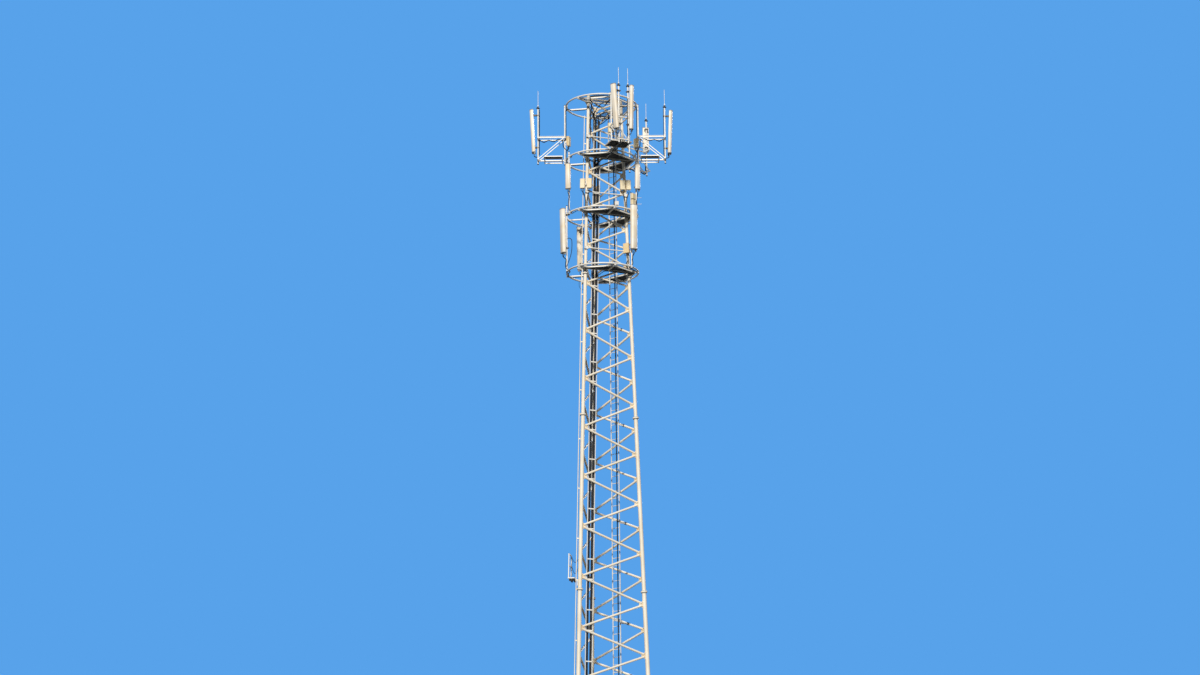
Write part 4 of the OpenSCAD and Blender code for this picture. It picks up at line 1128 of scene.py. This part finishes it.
def by_bars(level, arm, feeder):
    """Under the frame's bars from an arm's inner end to the top of a feeder."""
    h = ring_h(level) - frame_drop
    places = spots(*[(side, leg_r(h) / 2 + 0.09, h, share * face_u(h)) for side, share in bar_stops[arm]])
    slot, top = feeder_slots[feeder], feeder_tops[feeder]
    places.append(by_run(slot, h - 0.1, behind_run))
    if top > h:
        places += [by_run(slot, (h + top) / 2, behind_run), by_run(slot, top - 0.05, behind_run)]
    else:
        places.append(by_run(slot, (h + top) / 2))
    return places + [by_run(slot, top + 0.12)]


def homeward(level, azimuth, arm, feeder):
    """From a ring at one azimuth along the ring, in along an arm and on to a feeder."""
    h = ring_h(level) - frame_drop
    swing = (arm - azimuth + 180) % 360 - 180
    steps = 1 + int(abs(swing) / 12)
    places = [(azimuth + swing * i / steps, ring_r - 0.06, ring_h(level) - 0.05) for i in range(steps + 1)]
    return spots(*places, (arm, 1.2, h), (arm, leg_r(h) + 0.2 if arm in leg_azimuths else 0.8, h)) \
        + by_bars(level, arm, feeder)


# Long jumpers climb the ladder into the head. Each ends in a connector, from which thinner ones hang
# in loops under the top ring on their way to the arms.
head_top = 33.6
for slot, top in zip(feeder_slots, feeder_tops):
    loom([by_run(slot, top + 0.08), by_run(slot + 0.1, top + 0.4), by_run(slot - 0.1, (top + 33.0) / 2),
          by_run(slot, head_top - 0.3), by_run(slot, head_top)], 1, diameter=0.025)
for slot, count, diameter, places in (
        (-3.3, 2, 0.02, ((-178, 0.34, 34.0), (-172, 0.33, 34.22), (-155, 0.21, 34.16), (-110, 0.15, 34.12),
                         (-75, 0.20, 34.19), (-55, 0.30, 34.30), (-32, 0.7, 34.39), (-30, 1.0, 34.41),
                         (-30, 1.3, 34.41))),
        (-2.3, 2, 0.02, ((-155, 0.50, 34.02), (-150, 0.60, 34.22), (-138, 0.64, 34.32), (-120, 0.60, 34.30),
                         (-102, 0.62, 34.24), (-92, 0.80, 34.37), (-90, 1.1, 34.41), (-90, 1.3, 34.41))),
        (3.3, 2, 0.02, ((-168, 0.28, 33.84), (-163, 0.25, 33.96), (-140, 0.17, 33.86), (-90, 0.16, 33.84),
                        (-65, 0.22, 33.97), (-42, 0.42, 34.2), (-31, 0.75, 34.38), (-30, 1.1, 34.41))),
        (2.3, 3, 0.016, ((-125, 0.42, 33.9), (-60, 0.30, 34.18), (20, 0.34, 34.02), (100, 0.42, 34.22),
                         (160, 0.52, 34.36), (150, 0.72, 34.40), (150, 1.2, 34.40), (154, 1.40, 34.44),
                         (159, 1.47, 34.36), (160, 1.475, 34.2), (160, 1.475, 33.7), (160, 1.475, 33.2),
                         (160, 1.49, 33.0), (160, 1.60, 32.99, 0.06), (160, 1.74, 33.0, 0.06))),
        (1.3, 3, 0.016, ((-120, 0.34, 33.98), (-60, 0.30, 33.86), (0, 0.34, 34.04), (80, 0.36, 34.2),
                         (160, 0.36, 34.02), (-140, 0.44, 34.2), (-110, 0.62, 34.38), (-90, 0.95, 34.40),
                         (-90, 1.3, 34.41), (-92, 1.46, 34.40), (-94.5, 1.475, 34.3), (-94.5, 1.475, 33.9),
                         (-94.5, 1.46, 33.3))),
        (-1.3, 3, 0.016, ((-150, 0.36, 33.85), (150, 0.36, 34.05), (80, 0.42, 33.86), (20, 0.42, 34.1),
                          (-15, 0.62, 34.36), (-30, 0.84, 34.40), (-30, 1.3, 34.41), (-24, 1.45, 34.40),
                          (-20.5, 1.475, 34.2), (-20, 1.475, 33.8), (-20, 1.475, 33.2), (-20, 1.49, 33.0),
                          (-20, 1.60, 32.99, -0.06), (-20, 1.74, 33.0, -0.06)))):
    loom([by_run(slot, head_top), by_run(slot, head_top + 0.1)] + spots(*places), count, diameter=diameter)

# Four more climb the run to the third ring, cross to the left leg and follow it up to the front of
# the top ring.
bar_r = leg_r(32.0) / 2 + 0.09
loom([by_run(-3.3, 29.4), by_run(-3.3, 31.4, behind_run), by_run(-3.3, 31.85, behind_run)]
     + spots((-90, bar_r, 31.975, -0.35), (-90, bar_r, 31.975, -0.5))
     + by_leg(left_leg, -20, (32.15, 0.105, 0), (32.7, 0.10, 0), (33.2, 0.105, 0), (33.7, 0.10, 0),
              (34.15, 0.105, 0), (34.34, 0.15, 0))
     + by_leg(left_leg, -60, (34.40, 0.2, 0))
     + spots((-136, 1.0, 34.43), (-128, 1.37, 34.44), (-112, 1.40, 34.44), (-98, 1.41, 34.43)),
     4, diameter=0.018)

# On the left and right outriggers they run from the radio along the arm and down the mast.
for title, azimuth, arm, aim, back, low, feeder, y, upper in (
        ("left", left_out_az, 150, left_radio_aim, left_radio_back, left_radio_low, 1, 0.06, 2),
        ("right", right_out_az, -30, right_radio_aim, right_radio_back, right_radio_low, 4, -0.06, 1)):
    foot = stands["antenna_" + title][2]
    unit = at(azimuth, pipe_r, 0, 0, aim)
    plug_x = back + radio_t * plug_share
    arm_frame = at(azimuth, 0, arm_h)
    loom(spots((azimuth, 2.79, foot - 0.16), (azimuth, 2.70, foot - 0.20), (azimuth, 2.60, foot - 0.10),
               (azimuth, 2.588, foot + 0.12))
         + off(arm_frame, (2.588, 0, -0.16), (2.54, 0, -0.07), (2.40, y, -0.17), (2.20, y, -0.09),
               (1.98, y, -0.14), (1.78, y, -0.05), (1.62, y, -0.14), (1.585, y * 0.5, -0.36))
         + off(unit, (0.07, 0, low - 0.15), (plug_x - 0.02, 0, low - 0.17)),
         4, ports["antenna_" + title], ports["radio_" + title])
    loom(off(arm_frame, (2.588, 0.01, -0.22), (2.585, 0.01, 0.2), (2.588, -0.01, 0.6), (2.585, 0.01, 1.0))
         + spots((azimuth, 2.59, mast_top - 0.14)), upper, diameter=0.022)
    loom(off(unit, (plug_x - 0.03, 0.02, low - 0.13), (0.06, 0.01, low - 0.26), (0.052, 0, ring_h(3) + 0.2),
             (0.055, 0, ring_h(3) + 0.06))
         + homeward(3, azimuth, arm, feeder), 3, ports["radio_" + title][1:])

# On the front outrigger both masts' cables meet on the middle bar of the step.
for title, feeder in (("antenna_front_west", 2), ("antenna_front_east", 3)):
    y = stands[title][3]
    loom(off(at(*stands[title]), (0.15, 0, -0.17), (0.09, 0, -0.20), (-0.05, 0, -0.14))
         + spots((-90, 2.58, 32.38, y), (-90, 2.56, 32.22, y * 0.8), (-90, 2.44, 32.08, y * 0.25),
                 (-90, 2.1, 32.06, y * 0.2), (-90, 1.62, 32.06, y * 0.2))
         + homeward(3, -90 + y * 8, -90, feeder), len(ports[title]), ports[title])
loom(off(at(front_out_az, mast_r, 0, front_mast_half, -110), (0.048, -0.02, 32.3), (0.05, -0.03, 32.7),
         (0.048, -0.03, 33.1), (0.05, -0.025, 33.5), (0.045, -0.02, 33.9)), 2, diameter=0.018)
loom(spots((-94.5, 1.42, arm_h - 0.42), (-94.5, 1.47, arm_h - 0.52), (-94.5, 1.475, arm_h - 0.7),
           (-93, 1.46, ring_h(3) + 0.06)) + homeward(3, -92, -90, 3), 4, ports["radio_front"])

# On the rear outrigger they run down the mast to its foot and in under the step bar.
loom(off(at(rear_out_az, rear_mast_r, 0, 0, 80), (0.15, 0, 32.93))
     + off(at(rear_out_az, rear_mast_r, 0, 0, -165), (0.055, 0, 32.84), (0.052, 0.01, 32.6),
           (0.055, 0, 32.35), (0.06, 0, 32.12), (0.12, 0, 32.02))
     + off(at(rear_out_az, 0, 0), (2.1, -0.05, 32.03), (1.9, -0.06, 31.98), (1.52, -0.05, 32.05))
     + homeward(3, 22, 30, 2), 4, ports["antenna_rear"], diameter=0.019)

# Under the radios on the legs they hang in short loops, then follow the leg down to the ring.
low = ring_h(2) - 0.02
for title, azimuth, aim, foot, out, aside, feeder in (
        ("radios_leg_left", left_leg, -120, left_pair_h, 0.18, 0.14, 2),
        ("radios_leg_right", right_leg, -100, right_pair_h, 0.15, 0.12, 5)):
    for side, sockets in ((-1, ports[title][:4]), (1, ports[title][4:])):
        loom(by_leg(azimuth, aim, (foot - 0.14, out - 0.01, side * aside),
                    (foot - 0.22, out - 0.03, side * 0.09), (foot - 0.33, 0.10, side * 0.055),
                    (foot - 0.5, 0.09, side * 0.03),
                    ((foot + low) / 2 - 0.2, 0.088, side * 0.03), (low, 0.09, side * 0.03))
             + by_bars(2, azimuth, feeder), 4, sockets)
loom(by_leg(back_leg, 5, (back_h - 0.14, 0.13, 0), (back_h - 0.3, 0.10, 0), (back_h - 0.6, 0.088, 0),
            (low, 0.09, 0)) + by_bars(2, back_leg, 0), 4, ports["radio_back"])
loom(by_leg(right_leg, -130, (low_h - 0.15, 0.13, 0.03), (low_h - 0.32, 0.20, 0.06),
            (low_h - 0.48, 0.15, -0.05)) + by_leg(right_leg, -120, (low_h - 0.56, 0.10, -0.04))
     + by_leg(right_leg, -110, (ring_h(1) + 0.02, 0.095, 0)) + by_bars(1, right_leg, 5),
     4, ports["radio_low"])

# Under the antennas on the ring pipes they cross to the pipe and follow it down to the ring.
for title, level, arm, feeder in (
        ("antenna_small_left", 2, left_leg, 0), ("antenna_small_right", 2, right_leg, 5),
        ("antenna_tall_left", 1, 150, 0), ("antenna_tall_right", 1, right_leg, 5),
        ("antenna_tall_rear", 1, back_leg, 0)):
    azimuth, _, foot, _, aim = stands[title]
    low = ring_h(level) + 0.08
    loom(off(at(azimuth, pipe_r, 0, 0, aim), (0.16, 0, foot - 0.17), (0.11, 0.01, foot - 0.22),
             (0.052, 0.015, foot - 0.26), (0.05, 0.012, foot - 0.36), (0.052, -0.01, (foot + low) / 2 - 0.12),
             (0.05, 0.01, low))
         + homeward(level, azimuth, arm, feeder), len(ports[title]), ports[title])
pipe = at(tall_right_az, pipe_r, ring_h(2))
loom(off(pipe, (0.06, 0, 0.03), (-0.05, 0.05, 0)) + homeward(2, tall_right_az + 2, -30, 5),
     4, ports["radios_ring"][:4])
loom(off(pipe, (0.16, 0.08, 0.33), (0.16, 0.15, 0.22), (0.08, 0.12, 0.05), (-0.05, 0.07, 0.02)),
     3, ports["radios_ring"][4:])
jumpers.grow("jumper_cables", "cable_sheath", black_sheath)
ties.grow("cable_ties", "cable_sheath", black_sheath, sides=12)

connectors = Lines()
for slot, top in zip(feeder_slots, feeder_tops):
    for low, high, extra in ((top - 0.02, top + 0.05, 0.008), (top + 0.05, top + 0.10, -0.006),
                             (face_v(head_top) - 0.04, face_v(head_top) + 0.04, 0.002)):
        connectors.chain(run, [(slot * feeder_pitch, low, feeder_w), (slot * feeder_pitch, high, feeder_w)],
                         feeder_d + extra)
connectors.grow("feeder_connectors", "cable_sheath", black_sheath, sides=12)


# Spare coaxial tails: a stiff feeder cable that leaves the pipe of the tall left antenna and bows down
# to the lowest ring, and a thinner loop under the far side of that ring. Both are held at their ends.
def tail(name, places, diameter):
    """A cable along a smooth line from its first place to its last."""
    route = smoothed(places, 0.03)
    lines = Lines()
    lines.chain(Matrix(), route, diameter)
    piece = lines.grow(name, "cable_sheath", black_sheath)


thin_tail_d = 0.016
tail("left_antenna_tail", off(
    at(tall_left_az, pipe_r, 0, 0, -110),
    (0.02, 0.02, 28.575), (0.035, 0.055, 28.588), (0.05, 0.095, 28.588), (0.06, 0.137, 28.573),
    (0.066, 0.17, 28.545), (0.07, 0.193, 28.507), (0.07, 0.205, 28.45), (0.07, 0.208, 28.27),
    (0.06, 0.19, 28.02), (0.06, 0.13, 27.76), (0.05, 0.05, 27.55), (0.03, 0.00, 27.42),
    (0.01, -0.01, 27.34)), feeder_d)
tail("lowest_ring_tail", spots(*[(azimuth, ring_r - ring_tube / 2, h) for azimuth, h in (
    (113, 27.21), (113.4, 27.12), (113.3, 27.02), (111.5, 26.92), (108, 26.87), (104.5, 26.89),
    (102.2, 26.97), (101.6, 27.09), (101.8, 27.21))]), thin_tail_d)
